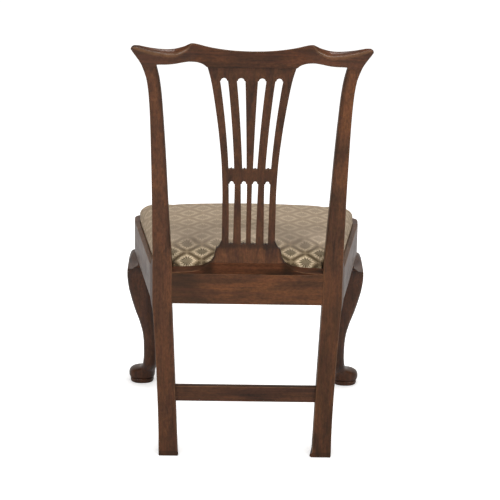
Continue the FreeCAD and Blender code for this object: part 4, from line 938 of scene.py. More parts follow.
@dataclass
class RearPosts:
    """Stiles and rear legs, each sawn and shaped from one board."""

    foot_outer: float = 195.5
    top_outer: float = 232.0
    top_inner: float = 202.0
    foot_depth: float = 38.0
    depth: float = 42.0
    top_depth: float = 26.0
    facet: float = 6.34
    fade_height: float = 295.0
    stop_height: float = 450.0
    # Heights of the darker foot and of the painted shade at the joint with the crest rail, and how
    # dark each is.
    foot_reach: float = 12.0
    foot_darkening: float = 0.55
    joint_reach: float = 8.0
    joint_shade: float = 0.42
    inner_round: Rows = ((0.0, 0.0), (448.0, 0.0), (475.0, 0.9), (700.0, 1.1), (912.0, 1.5))
    # How far the feet's inner rear edges have split and spread, and the lip's shape.
    lips: tuple[tuple[str, float], ...] = (("left", 2.0), ("right", 5.8))
    spread: Rows = (
        (0.0, 0.5), (2.5, 0.95), (5.0, 1.0), (7.5, 0.7), (10.0, 0.1), (12.0, 0.0), (950.0, 0.0),
    )
    # Share of painted shade along the rounded inner arris, by height.
    arris_shade: Rows = ((475.0, 0.0), (560.0, 0.25), (740.0, 0.42), (880.0, 0.62), (912.0, 0.70))
    legs: Rows = ((0.0, 0.0), (0.21, 0.10), (0.43, 0.30), (0.64, 0.53), (0.843, 0.80), (1.0, 1.0))
    stile_outer: Rows = (
        (0.0, 0.0), (0.05, 0.0), (0.18, 0.03), (0.36, 0.05), (0.56, 0.115), (0.75, 0.20),
        (0.87, 0.34), (0.945, 0.57), (1.0, 1.0),
    )
    stile_inner: Rows = (
        (0.0, 0.0), (0.047, 0.04), (0.18, 0.15), (0.36, 0.284), (0.56, 0.415), (0.75, 0.57),
        (0.87, 0.69), (0.945, 0.827), (1.0, 1.0),
    )

    def section(self, z: float, lip: float) -> Section:
        """Section of the left post at a height, in half width and depth.

        Args:
            z: Height.
            lip: How far the foot's worn inner edge has spread.

        Returns:
            The section.
        """
        lines = LINES
        rise = np.clip((z - lines.seat_height) / (lines.crest_joint - lines.seat_height), 0.0, 1.0)
        low = np.clip(z / lines.rail_bottom, 0.0, 1.0)
        outer = between(self.foot_outer, lines.back_half, smooth(self.legs, low))
        inner = lines.leg_inner(min(z, lines.rail_bottom))
        front = lines.lean(z) - between(self.foot_depth, self.depth, low)
        if z > self.fade_height:
            front = -self.depth
        if z > lines.seat_height:
            outer = between(lines.back_half, self.top_outer, smooth(self.stile_outer, rise))
            inner = between(lines.post_inner, self.top_inner, smooth(self.stile_inner, rise))
            front = lines.lean(z) - between(self.depth, self.top_depth, rise)
        facet = self.facet * smooth(
            (
                (0.0, 0.0), (self.fade_height, 0.0), (lines.rail_bottom, 1.0),
                (lines.seat_height, 1.0), (self.stop_height, 0.0), (lines.crest_joint, 0.0),
            ),
            z,
        )
        rear = lines.lean(z)
        round_inner = 1.8 + 5.2 * float(smooth(self.inner_round, z))
        lip *= float(smooth(self.spread, z))
        corners = [(inner - lip, rear), (outer, rear), (outer + facet, front), (inner, front)]
        section = Section.rounded(corners, (round_inner, 2.4, 2.0, 2.0), 5)
        # The seat has rubbed the arrises pale where it is lifted past them.
        if abs(z - self.stop_height - 4.0) < 3.0:
            section.wear_and_painted_light = [min(1.6, r * 2.2) for r in section.wear_and_painted_light]
        # The foot is darker near the floor.
        if z < self.foot_reach:
            section.wear_and_painted_light = [-self.foot_darkening] * len(section.wear_and_painted_light)
        # Painted shade along the rounded inner arris, darkest just under the crest rail.
        if z > self.arris_shade[0][0]:
            dirt_and_shade = float(smooth(self.arris_shade, z))
            section.wear_and_painted_light[:5] = [-dirt_and_shade * share for share in (0.8, 1.0, 1.0, 0.95, 0.75)]
            section.wear_and_painted_light[-1] = -0.8 * dirt_and_shade
        # Painted shade in the joint under the crest rail.
        if z > lines.crest_joint - self.joint_reach:
            section.wear_and_painted_light = [min(-self.joint_shade, r) for r in section.wear_and_painted_light]
        return section

    def build(self) -> None:
        """Both posts."""
        lines = LINES
        stop, joint = self.stop_height, lines.crest_joint
        breaks = (
            0.0, 2.5, 5.0, 7.5, 10.0, self.foot_reach, 26.0, self.fade_height, lines.rail_bottom,
            lines.seat_height, stop, stop + 4.0, stop + 8.0, 475.0, 840.0, joint - 11.0,
            joint - 7.5, joint,
        )
        # Middle and light tone, and where the darker stretch runs and how dark it is.
        tones = {
            "left": ("#523320", "#633D24", (430.0, -260.0), 0.62),
            "right": ("#57361F", "#6E4325", (700.0, 400.0), 0.40),
        }
        lips = dict(self.lips)
        for name, side in PERSON_SIDES:
            loft = Loft(f"post_{name}")
            for z in stations(breaks, 14.0):
                section = self.section(z, lips[name])
                loft.add(section, lambda u, d, z=z: (u, lines.back_y + d, z))
            loft.flip()
            # The foot's eased end is darker.
            loft.ease_end(1.2, -0.6)
            middle, light, stain, stain_share = tones[name]
            finish = WaxedMahogany(
                f"waxed_mahogany_post_{name}", grain=Grain.UPRIGHT, shift=0.75 - 0.17 * side,
                middle=middle, light=light, film_share=0.22, stain_axis=2, stain=stain,
                stain_share=stain_share,
            )
            piece = dress(even_flats(loft.build(side)), finish)
            hand_over(piece, "chair_frame", "mahogany", f"rear_post_{name}")


@dataclass
class CrestRail:
    """Eared crest rail, sawn to its outline and rounded over at the ears."""

    thickness: float = 26.0
    fall: float = 8.5
    reach: float = 255.5
    # Distances from the middle where the ears' tips start and where the splat ends.
    tip: float = 246.5
    splat_half: float = 94.0
    top: Rows = (
        (0, 949.8), (20, 950.3), (40, 951.5), (60, 953.7), (80, 956.8), (100, 961.2),
        (110, 964.0), (120, 966.3), (128, 967.0), (135, 964.8), (142, 961.2), (150, 958.2),
        (160, 955.0), (170, 953.1), (180, 952.5), (190, 952.9), (200, 953.8), (210, 955.2),
        (220, 957.0), (230, 959.3), (240, 961.2), (247, 961.2), (252, 958.0), (254.6, 954.0),
        (255.5, 950.6),
    )
    under: Rows = (
        (0, 912.0), (94, 912.0), (96, 912.9), (99, 915.6), (103, 918.4), (110, 921.4),
        (120, 923.4), (130, 923.8), (140, 922.7), (150, 920.8), (160, 918.6), (170, 917.0),
        (185, 916.0), (202, 916.0),
    )
    ear_under: Rows = (
        (202, 912.0), (231.5, 912.0), (234, 917.0), (240, 927.0), (249, 940.4), (254.2, 947.6),
        (255.5, 949.9),
    )
    ridge: Rows = (
        (0, 1.2), (121, 1.2), (128, 3.0), (134, 9.0), (148, 12.6), (164, 14.8), (194, 12.4),
        (224, 10.6), (245, 7.4), (255.5, 2.2),
    )
    hollow: Rows = (
        (0, 0.0), (124, 0.1), (134, 1.6), (150, 2.0), (180, 1.4), (215, 0.7), (245, 0.0),
        (255.5, 0.0),
    )
    lower_roll: Rows = (
        (0, 0.6), (92, 0.6), (105, 2.5), (140, 4.0), (190, 4.0), (203, 0.6), (230, 0.6), (240, 5.0),
        (255.5, 3.0),
    )

    def section(self, across: float, over_post: bool) -> Section:
        """Section at a half width, in depth behind the rear rail and height.

        Args:
            across: Distance from the middle.
            over_post: Whether the underside is the joint with the post.

        Returns:
            The section.
        """
        lines = LINES
        high = float(smooth(self.top, across))
        low = float(smooth(self.ear_under if over_post else self.under, across))
        tall = max(high - low, 0.4)
        thin = 1.0
        if across > self.tip:
            past = (across - self.tip) / (self.reach - self.tip + 0.1)
            thin = max(0.12, 1 - past**2) ** 0.5
        middle = lines.lean((high + low) / 2) - self.thickness / 2

        def rear(z: float) -> float:
            """Depth of the rear face at a height."""
            return middle + (lines.lean(z) - middle) * thin

        def front(z: float) -> float:
            """Depth of the front face at a height."""
            return middle + (lines.lean(z) - self.thickness - middle) * thin

        drop = min(float(smooth(self.ridge, across)), tall * 0.45)
        hollow = float(smooth(self.hollow, across))
        foot = min(float(smooth(self.lower_roll, across)), tall * 0.35)
        fall = self.fall * (high - lines.crest_joint) / (lines.crest_top - lines.crest_joint)
        slope = fall / self.thickness
        arris = min(7.0, drop * 0.75)
        made = Section()
        # The rail is darker along its joint with the splat.
        joint = -1.0 if across < self.splat_half else 0.6
        start, end = (rear(low) - foot * 0.7, low), (rear(low + foot), low + foot)
        made.bend(start, (rear(low), low), end, 4, joint)
        for share in (0.25, 0.5, 0.75):
            z = between(low + foot, high - drop - arris, share)
            made.add((rear(z), z))
        below = (rear(high - drop), high - drop)
        above = (rear(high) - drop * thin, high - slope * drop)
        hollowed = tuple((below[k] + above[k]) / 2 - hollow for k in (0, 1))
        facet = partial(round_over, below, hollowed, above)
        # The ridge's middle is pale: partly worn, partly a painted highlight where it catches the
        # light.
        made.bend((rear(high - drop - arris), high - drop - arris), below, facet(0.46), 8, 0.9)
        for t in (0.56, 0.66, 0.76):
            made.add(facet(t))
        reach = min(1.6, drop * 0.4)
        made.bend(facet(0.88), above, (above[0] - reach, above[1] - slope * reach), 4, 0.5)
        z = high - slope * self.thickness
        edge = min(7.0, tall * 0.3)
        start, end = (front(z) + edge, z + slope * edge), (front(z - edge), z - edge)
        made.bend(start, (front(z), z), end, 4, 0.5)
        for share in (0.33, 0.67):
            face = between(z - edge, low + foot, share)
            made.add((front(face), face))
        start, end = (front(low + foot), low + foot), (front(low) + foot * 0.7, low)
        made.bend(start, (front(low), low), end, 4, 0.4)
        return made

    def build(self) -> None:
        """The whole rail, from the right ear to the left one."""
        lines = LINES
        half = [(x, False) for x in stations((0.0, self.splat_half, 104.0, 128.0, 202.0), 2.5)]
        half += [(x, True) for x in stations((202.01, 231.5, 246.0), 2.4)]
        tips = [math.sin(i / 8 * math.pi / 2) for i in range(1, 9)]
        half += [(between(246.0, self.reach, tip), True) for tip in tips]
        loft = Loft("crest")
        for x, over_post in [(-x, flag) for x, flag in half[:0:-1]] + half:
            section = self.section(abs(x), over_post)
            loft.add(section, lambda d, z, x=x: (x, lines.back_y + d, z))
        finish = WaxedMahogany(
            "waxed_mahogany_crest", grain=Grain.ACROSS, shift=1.3, dark="#331D10", middle="#4B2C17",
            light="#5C351D", roughness=0.42, wax=0.16, stain=(120.0, 300.0),
            polished=(112.0, 134.0),
        )
        piece = dress(even_flats(loft.build()), finish)
        hand_over(piece, "chair_frame", "mahogany", "crest_rail")


@dataclass
class Splat:
    """Thin pierced board, fret-sawn into five ribs with a bar at the waist."""

    foot: float = 448.0
    neck: float = 502.0
    top: float = 912.0
    waist_half: float = 59.0
    top_half: float = 94.0
    sill: float = 493.5
    waist: float = 645.6
    bar: float = 28.5
    head: float = 887.5
    thickness: float = 11.0
    set_in: float = 3.0
    arris: float = 0.9
    # Rise of a slot's round head, the step at its shoulders and the bump of its sill.
    slot_head: float = 6.5
    slot_step: float = 2.0
    slot_bump: float = 2.2
    widening: Rows = (
        (0.0, 0.0), (0.24, -0.005), (0.42, 0.06), (0.61, 0.25), (0.79, 0.52), (0.93, 0.79),
        (1.0, 1.0),
    )
    flare: Rows = (
        (448.0, 83.0), (463.1, 75.0), (469.0, 74.5), (475.0, 73.4), (480.0, 72.0), (483.6, 70.8),
    )
    cusp: Rows = ((485.3, 67.3), (489.0, 64.4), (494.4, 61.9), (498.5, 60.2))
    # Inner and outer edge at the sill, then at the head, as shares of the half width.
    lower_slots: tuple = ((0.09, 0.276, 0.094, 0.317), (0.576, 0.734, 0.547, 0.762))
    upper_slots: tuple = ((0.118, 0.265, 0.156, 0.364), (0.56, 0.756, 0.584, 0.779))

    def half(self, z: float) -> float:
        """Half width above the flared foot."""
        share = (max(z, self.neck) - self.neck) / (self.top - self.neck)
        return between(self.waist_half, self.top_half, float(smooth(self.widening, share)))

    def outline(self) -> list[Pair]:
        """Closed outline, from the foot up the left side and down the right.

        Returns:
            Its points.
        """
        side = [(u, z) for z, u in self.flare + self.cusp]
        side += [(self.half(z), z) for z in stations((self.neck, self.top), 9.0)]
        return side + [(-u, z) for u, z in side[::-1]]

    def slot(self, shares: Sequence[float], low: float, high: float, side: int) -> list[Pair]:
        """Outline of a slot with its bumped sill and round, shouldered head.

        Args:
            shares: Its edges, as in the slots above.
            low: Height of the sill.
            high: Height of the head.
            side: 1 for the left, -1 for the right.

        Returns:
            Its points.
        """
        shoulder = high - self.slot_head
        rises = [i / 16 for i in range(17)]
        edges = []
        for k in (0, 1):
            edge = []
            for r in rises:
                z = between(low, shoulder, r)
                edge.append((side * self.half(z) * between(shares[k], shares[k + 2], r), z))
            edges.append(edge)
        inner, outer = edges
        left, right = inner[-1][0] + side * self.slot_step, outer[-1][0] - side * self.slot_step
        head = []
        for i in range(13):
            turn = math.pi * i / 12
            across = (left + right) / 2 - (right - left) / 2 * math.cos(turn)
            head.append((across, shoulder + self.slot_head * math.sin(turn)))
        sill = []
        for i in range(9):
            turn = math.pi * i / 8
            across = between(outer[0][0], inner[0][0], 0.5 - 0.2 * math.cos(turn))
            sill.append((across, low + self.slot_bump * math.sin(turn)))
        return inner + head + outer[::-1] + sill

    def dirt_and_shade(self, flat: np.ndarray) -> np.ndarray:
        """Share of painted shade down the flared edges and under the slots' sills.

        Args:
            flat: Points of the board before it is bent, across and up.

        Returns:
            The share at each point.
        """
        across, height = np.abs(flat[:, 0]), flat[:, 1]
        z, u = np.array(self.flare + self.cusp).T
        edge = np.clip((across - np.interp(height, z, u) + 7.0) / 5.0, 0.0, 1.0)
        sill = np.interp(height, (480.0, 487.0, 494.0, 503.0), (0.0, 0.7, 0.7, 0.0))
        return np.maximum(edge * (height < self.neck), sill)

    def build(self) -> None:
        """Board sawn, pierced, eased along its edges and bent to the lean of the back."""
        curve = bpy.data.curves.new("splat_fret", "CURVE")
        curve.dimensions = "2D"
        curve.fill_mode = "BOTH"
        runs = [self.outline()]
        bar_top = self.waist + self.bar
        for side in (1, -1):
            runs += [self.slot(shares, self.sill, self.waist, side) for shares in self.lower_slots]
            runs += [self.slot(shares, bar_top, self.head, side) for shares in self.upper_slots]
        for run in runs:
            spline = curve.splines.new("POLY")
            spline.points.add(len(run) - 1)
            points = np.array([(u, z, 0, 1) for u, z in run], float)
            spline.points.foreach_set("co", points.ravel())
            spline.use_cyclic_u = True
        curve.extrude = self.thickness / 2 - self.arris
        curve.bevel_depth = self.arris
        curve.bevel_resolution = 2
        curve.offset = -self.arris
        fret = bpy.data.objects.new("splat_fret", curve)
        mesh = bpy.data.meshes.new_from_object(fret)
        bpy.data.objects.remove(fret)
        work = bmesh.new()
        work.from_mesh(mesh)
        bmesh.ops.remove_doubles(work, verts=work.verts, dist=0.01)
        levels = stations((self.foot + 8, 480, 487, 503, self.top - 8), 11.0)
        cuts = [((0, z, 0), (0, 1, 0)) for z in levels]
        for side in (1, -1):
            cuts += [((side * x, 0, 0), (1, 0, 0)) for x in stations((50.0, 82.0), 4.0)]
        for at, normal in cuts:
            everything = work.verts[:] + work.edges[:] + work.faces[:]
            bmesh.ops.bisect_plane(
                work, geom=everything, plane_co=at, plane_no=normal, dist=0.001
            )
        work.to_mesh(mesh)
        work.free()
        flat = points_of(mesh)
        lean = np.array([LINES.lean(z) for z in flat[:, 1]])
        depth = lean - self.set_in - self.thickness / 2 + flat[:, 2]
        points = np.stack([flat[:, 0], LINES.back_y + depth, flat[:, 1]], axis=1)
        edge = self.thickness / 2 - self.arris * 0.4
        wear_and_painted_light = (np.abs(np.abs(flat[:, 2]) - edge) < self.arris * 0.35) * 0.8
        # Pale worn arrises above the neck, and painted shade down the flared foot and under the
        # sills.
        wear_and_painted_light = np.where(flat[:, 1] < self.neck, 0.0, wear_and_painted_light) - self.dirt_and_shade(flat)
        faces = [tuple(polygon.vertices) for polygon in mesh.polygons]
        piece = new_object("splat_board", points, faces, wear_and_painted_light)
        bpy.data.meshes.remove(mesh)
        finish = WaxedMahogany(
            "waxed_mahogany_splat", grain=Grain.UPRIGHT, shift=2.6, dark="#362115",
            middle="#54331D", light="#674025", figure_pitch=24.0, film_share=0.28, stain_axis=2,
            stain=(478.0, 500.0), stain_share=0.42,
        )
        dress(even_flats(piece), finish)
        hand_over(piece, "chair_frame", "mahogany", "splat")


@dataclass
class Shoe:
    """Moulded shoe that holds the splat's foot, with two low wings."""

    depth: float = 24.0
    cove: float = 9.0
    plinth_half: float = 83.0
    rear_top: Rows = (
        (0, 448.0), (83, 448.0), (84.5, 446.6), (90.7, 440.9), (106.9, 430.9), (130.9, 426.3),
        (168.5, 423.6),
    )
    front_top: Rows = (
        (0, 448.0), (83, 448.0), (84.5, 447.0), (90.7, 442.8), (106.9, 435.4), (130.9, 432.0),
        (168.5, 430.0),
    )
    # How dark the painted shade is in the coves beside the plinth.
    cove_shade: Rows = (
        (0.0, 0.0), (70.0, 0.0), (84.0, 0.9), (94.0, 0.8), (112.0, 0.0), (200.0, 0.0),
    )

    def section(self, across: float) -> Section:
        """Section of the shoe.

        Args:
            across: Distance from the middle.

        Returns:
            The section, in depth and height.
        """
        rear = float(smooth(self.rear_top, across))
        front = float(smooth(self.front_top, across))
        low = LINES.rear_rail_top
        made = Section()
        made.bend((-1.3, low), (0.0, low), (0.0, low + 1.3), 3, 0.0)
        worn = 0.3 if across < self.plinth_half else 1.0
        start, end = (0.0, rear - 1.6), (-1.6, between(rear, front, 1.6 / self.depth))
        made.bend(start, (0.0, rear), end, 5, worn)
        bite = self.cove * float(np.clip((front - 430.0) / 18.0, 0.0, 1.0))
        start = (-self.depth + bite + 0.5, between(rear, front, 1 - bite / self.depth))
        corner = (-self.depth + bite * 0.9 + 0.2, front - bite * 0.9 - 0.2)
        made.bend(start, corner, (-self.depth, front - bite - 0.8), 5, 0.3)
        made.bend((-self.depth, low + 0.5), (-self.depth, low), (-self.depth + 0.5, low), 2, 0.2)
        # Painted shade in the coves beside the plinth.
        dark = float(smooth(self.cove_shade, across))
        made.wear_and_painted_light = [between(r, -1.0, dark) for r in made.wear_and_painted_light]
        return made

    def build(self) -> None:
        """The shoe, from post to post."""
        end = LINES.post_inner - LINES.gap
        half = stations((0.0, self.plinth_half, 96.0, 131.0, end), 2.2)
        loft = Loft("shoe_moulding")
        for x in [-x for x in half[:0:-1]] + half:
            loft.add(self.section(abs(x)), lambda d, z, x=x: (x, LINES.back_y + d, z))
        finish = WaxedMahogany(
            "waxed_mahogany_shoe", grain=Grain.ACROSS, shift=3.4, dark="#2D1A0E", middle="#462916",
            light="#54311D", specular=0.08, wax=0.04,
        )
        piece = dress(even_flats(loft.build()), finish)
        hand_over(piece, "chair_frame", "mahogany", "shoe")


# Seat rails, stretcher and legs


@dataclass
class SeatRails:
    """Four rails round the seat, rebated for the drop-in seat."""

    thickness: float = 32.0
    shoe_depth: float = 24.0
    post_depth: float = 42.0

    def rear(self) -> None:
        """Rear rail between the posts."""
        lines = LINES
        low, top = lines.rail_bottom, lines.rear_rail_top
        shoe, inner = -self.shoe_depth, -self.post_depth
        corners = (
            (0.0, low), (0.0, top), (shoe, top), (shoe, lines.ledge), (inner, lines.ledge),
            (inner, low),
        )
        section = Section.rounded(corners, (1.6, 0.9, 0.3, 0.3, 0.8, 1.4), 4)
        end = lines.post_inner - lines.gap
        loft = Loft("rail_rear")
        for x in stations((-end, end), 40.0):
            loft.add(section, lambda d, z, x=x: (x, lines.back_y + d, z))
        finish = WaxedMahogany(
            "waxed_mahogany_rear_rail", grain=Grain.ACROSS, shift=4.7, middle="#56351E",
            light="#683F22", figure_pitch=26.0, stain=(70.0, 125.0),
        )
        piece = dress(even_flats(loft.build()), finish)
        hand_over(piece, "chair_frame", "mahogany", "rear_seat_rail")

    def along(
        self, name: str, ends: Pair, place: Callable[[float, float, float], Triple], shift: float,
        grain: Grain,
    ) -> bpy.types.Object:
        """Rail with a border on its outer side and a ledge on its inner side.

        Args:
            name: Name of the piece.
            ends: Where it starts and ends along its length.
            place: Turns run, distance in from the outer face and height into a point.
            shift: Offset of its grain.
            grain: Way the grain runs.

        Returns:
            The piece.
        """
        lines = LINES
        low, high = lines.rail_bottom, lines.seat_height
        corners = (
            (0.0, low), (0.0, high), (lines.border, high), (lines.border, lines.ledge),
            (self.thickness, lines.ledge), (self.thickness, low),
        )
        section = Section.rounded(corners, (1.6, 1.5, 0.9, 0.3, 0.8, 1.4), 4)
        loft = Loft(name)
        for run in stations(ends, 40.0):
            loft.add(section, lambda inset, z, run=run: place(run, inset, z))
        # The rails' colours are greyer and paler than the other mahogany: painted reflection of the
        # pale room on their faces.
        finish = WaxedMahogany(
            f"waxed_mahogany_{name}", grain=grain, shift=shift, dark="#3E2B1F", middle="#553C2C",
            light="#634834", film_share=0.3, wax=0.42,
        )
        return dress(even_flats(loft.build()), finish)

    def build(self) -> None:
        """All four rails."""
        lines = LINES
        self.rear()
        ends = (self.post_depth + lines.gap, lines.leg_back - lines.gap)
        for name, side in PERSON_SIDES:
            piece = self.along(
                f"rail_{name}", ends,
                lambda run, inset, z, side=side: (
                    side * (lines.side(run) - inset), lines.back_y - run, z
                ),
                5.2 + 0.3 * side, Grain.FORWARD,
            )
            hand_over(piece, "chair_frame", "mahogany", f"side_seat_rail_{name}")
        end = lines.front_half - lines.leg_block - lines.gap
        front = lines.back_y - lines.seat_depth
        piece = self.along(
            "rail_front", (-end, end), lambda run, inset, z: (run, front + inset, z), 6.1,
            Grain.ACROSS,
        )
        hand_over(piece, "chair_frame", "mahogany", "front_seat_rail")


@dataclass
class Stretcher:
    """Flat stretcher between the rear legs."""

    low: float = 120.0
    high: float = 156.0
    set_back: float = 10.0
    thickness: float = 16.0

    def build(self) -> None:
        """Board whose ends follow the slope of the legs."""
        lines = LINES
        back, front = self.set_back, self.set_back - self.thickness
        corners = ((back, self.low), (back, self.high), (front, self.high), (front, self.low))
        section = Section.rounded(corners, (1.4, 1.8, 1.4, 1.2), 4)
        loft = Loft("stretcher")
        for share in stations((-1.0, 1.0), 0.2):
            loft.add(
                section,
                lambda d, z, share=share: (
                    share * (lines.leg_inner(z) - lines.gap), lines.back_y + d, z
                ),
            )
        finish = WaxedMahogany(
            "waxed_mahogany_stretcher", grain=Grain.ACROSS, shift=7.3, dark="#2E1C11",
            middle="#442919", light="#51321D",
        )
        piece = dress(even_flats(loft.build()), finish)
        hand_over(piece, "chair_frame", "mahogany", "rear_stretcher")


@dataclass
class FrontLegs:
    """Cabriole legs with a square top, a full knee and a pad foot on a thin disc."""

    knee_top: float = 338.0
    taper_low: float = 300.0
    square_low: float = 330.0
    # How far the foot points ahead, and how much of that there is at a height.
    toe: float = 11.5
    toe_share: Rows = ((0.0, 1.0), (34.0, 1.0), (62.0, 0.0), (427.0, 0.0))
    # Height, outer edge and inner edge of the turned foot and ankle, and their rounding
    # as a share of the width. Edges are distances from the corner of the square top.
    turned_round: float = 0.485
    turned: tuple = (
        (0.0, 6.6, -44.0), (0.8, 8.6, -46.0), (3.0, 10.1, -47.3), (10.6, 10.5, -47.6),
        (12.2, 8.2, -45.6), (13.2, 9.8, -47.0), (15.6, 13.0, -50.0), (19.5, 13.6, -50.6),
        (25.5, 13.2, -50.9), (29.5, 11.2, -51.4), (32.5, 8.0, -52.0), (35.0, 3.6, -52.5),
        (37.2, -2.5, -52.9), (39.6, -9.2, -53.3), (43.0, -14.6, -53.9), (51.0, -19.8, -54.5),
        (60.0, -22.0, -54.7), (84.0, -23.7, -54.7),
    )
    # The same higher up, with the rounding of the outer corner and of the others.
    shaped: tuple = (
        (110.7, -23.3, -53.9, 0.485, 0.48), (134.8, -20.9, -52.2, 0.475, 0.46),
        (165.3, -12.9, -49.8, 0.46, 0.42), (195.8, -1.6, -48.5, 0.43, 0.36),
        (227.5, 7.6, -48.7, 0.38, 0.28), (258.0, 14.0, -50.5, 0.33, 0.18),
        (288.0, 16.4, -54.4, 0.27, 0.09), (304.0, 16.0, -55.0, 0.24, 0.05),
        (320.0, 13.7, -55.0, 0.20, 0.035), (329.0, 10.8, -55.0, 0.17, 0.03),
        (334.5, 7.8, -55.0, 0.12, 0.03), (337.4, 3.6, -55.0, 0.07, 0.03),
        (338.6, 0.0, -55.0, 0.07, 0.03), (345.0, 0.0, -55.0, 0.22, 0.03),
        (366.0, 0.0, -55.0, 0.44, 0.03), (427.0, 0.0, -55.0, 0.46, 0.03),
    )

    def section(self, z: float) -> Section:
        """Section of the left leg.

        Args:
            z: Height.

        Returns:
            The section, in half width and depth.
        """
        lines = LINES
        rows = [(*row, self.turned_round, self.turned_round) for row in self.turned]
        rows += self.shaped
        out, inn, sharp, soft = (
            float(smooth([(row[0], row[k]) for row in rows], z)) for k in (1, 2, 3, 4)
        )
        share = (z - self.taper_low) / (self.knee_top - self.taper_low)
        taper = (lines.front_half - lines.rail_front_half) * float(np.clip(share, 0.0, 1.0))
        width = out - inn
        ahead = self.toe * float(smooth(self.toe_share, z))
        x_in, x_out = lines.front_half + inn, lines.front_half + out
        y_in, y_out = lines.seat_depth + inn + ahead, lines.seat_depth + out + ahead
        corners = [(x_in, y_in), (x_out - taper, y_in), (x_out, y_out), (x_in, y_out)]
        radii = [width * share for share in (soft, soft, sharp, soft)]
        section = Section.rounded(corners, radii, 7)
        if z < self.square_low:
            section.wear_and_painted_light = [0.5 * r for r in section.wear_and_painted_light]
        return section

    def rebate(self, leg: bpy.types.Object) -> None:
        """Cut the room for the drop-in seat out of a leg's square top.

        Args:
            leg: The leg.
        """
        lines = LINES
        work = bmesh.new()
        bmesh.ops.create_cube(work, size=1.0)
        room = bpy.data.meshes.new("seat_room")
        side = 1 if leg.data.vertices[0].co.x > 0 else -1
        x_low = lines.front_half - lines.leg_block - 5.0
        x_high = lines.rail_front_half - lines.border
        y_low = lines.back_y - lines.seat_depth + lines.border
        y_high = lines.back_y - lines.leg_back + 5.0
        for vertex in work.verts:
            x = x_high if vertex.co.x > 0 else x_low
            y = y_high if vertex.co.y > 0 else y_low
            z = lines.ledge if vertex.co.z < 0 else lines.seat_height + 5.0
            vertex.co = Vector((side * x, y, z)) * MM
        bmesh.ops.recalc_face_normals(work, faces=work.faces)
        work.to_mesh(room)
        work.free()
        cutter = bpy.data.objects.new("seat_room", room)
        bpy.context.scene.collection.objects.link(cutter)
        modifier = leg.modifiers.new("rebate", "BOOLEAN")
        modifier.object = cutter
        modifier.operation = "DIFFERENCE"
        modifier.solver = "EXACT"
        cut = applied(leg)
        cut.shade_smooth()
        cut.set_sharp_from_angle(angle=math.radians(40))
        bpy.data.objects.remove(cutter)

    def build(self) -> None:
        """Both legs."""
        lines = LINES
        heights = stations((0.0, 3.0, 12.2, 44.0), 1.1)
        heights += stations((44.0, 60.0, 320.0), 5.0)[1:]
        heights += stations((320.0, 338.6), 1.3)[1:] + stations((338.6, 427.0), 30.0)[1:]
        for name, side in PERSON_SIDES:
            loft = Loft(f"leg_{name}")
            for z in heights:
                loft.add(self.section(z), lambda u, d, z=z: (u, lines.back_y - d, z))
            loft.ease_end(1.6, 0.3)
            piece = loft.build(side)
            self.rebate(piece)
            finish = WaxedMahogany(
                f"waxed_mahogany_leg_{name}", grain=Grain.UPRIGHT, shift=8.1 + 0.4 * side,
                dark="#2A1910", middle="#412615", light="#54321D", roughness=0.32, wax=0.36,
            )
            dress(even_flats(piece), finish)
            hand_over(piece, "chair_frame", "mahogany", f"front_leg_{name}")


class Under(Enum):
    """Rail that a knee bracket stands under."""

    SIDE = "side"
    FRONT = "front"


@dataclass
class KneeBrackets:
    """Shaped brackets that carry the knees on under the side and front rails."""

    length: float = 85.0
    drop: float = 45.0
    bulge: float = 16.4
    thickness: float = 26.0
    outline: tuple = (
        (0.0, 0.0), (0.28, 0.09), (0.53, 0.24), (0.74, 0.42), (0.90, 0.62), (0.98, 0.78),
        (1.0, 0.89), (0.96, 0.96), (0.84, 1.0),
    )
    bulge_left: Rows = ((0.0, 1.0), (0.25, 0.76), (0.5, 0.50), (0.75, 0.26), (1.0, 0.06))
    drop_left: Rows = ((0.0, 1.0), (0.25, 0.82), (0.5, 0.60), (0.75, 0.36), (1.0, 0.12))

    def section(self, share: float) -> Section:
        """Section of a bracket.

        Args:
            share: Share of its length, from the leg.

        Returns:
            The section, in distance out and height.
        """
        out = self.bulge * float(smooth(self.bulge_left, share))
        down = self.drop * float(smooth(self.drop_left, share))
        made = Section()
        made.add((-self.thickness, 0.0))
        for across, fall in self.outline:
            made.add((out * across, -down * fall), 0.4 if 0.5 < fall < 0.97 else 0.0)
        made.add((-self.thickness, -down * 0.85))
        return made

    def place(self, under: Under, run: float, out: float, z: float) -> Triple:
        """Point of a bracket beside the left leg.

        Args:
            under: Rail that it stands under.
            run: Distance from the leg along the rail.
            out: Distance out from the rail's face.
            z: Height over the rail's lower edge.

        Returns:
            The point.
        """
        lines = LINES
        height = lines.rail_bottom - 0.1 + z
        if under is Under.FRONT:
            inner = lines.front_half - lines.leg_block
            return (inner - run, lines.back_y - lines.seat_depth - out, height)
        slope = (lines.rail_front_half - lines.back_half) / lines.leg_back
        x = lines.rail_front_half - slope * run + out
        return (x, lines.back_y - lines.leg_back + run, height)

    def build(self) -> None:
        """Two brackets beside each leg."""
        kinds = ((Under.SIDE, 9.2, Grain.FORWARD), (Under.FRONT, 9.9, Grain.ACROSS))
        for name, side in PERSON_SIDES:
            for under, shift, grain in kinds:
                loft = Loft(f"bracket_{under.value}_{name}")
                for share in stations((0.0, 1.0), 0.05):
                    run = self.length * share + 0.1
                    loft.add(self.section(share), partial(self.place, under, run))
                finish = WaxedMahogany(
                    f"waxed_mahogany_bracket_{under.value}_{name}", grain=grain,
                    shift=shift + 0.2 * side, dark="#2B1910", middle="#402514", light="#4E301D",
                    roughness=0.36,
                )
                piece = dress(loft.build(side), finish)
                hand_over(piece, "chair_frame", "mahogany", f"knee_bracket_{under.value}_{name}")


# Drop-in seat


class Run(Enum):
    """Way that a webbing strap runs."""

    FRONT_TO_BACK = "long"
    SIDE_TO_SIDE = "cross"


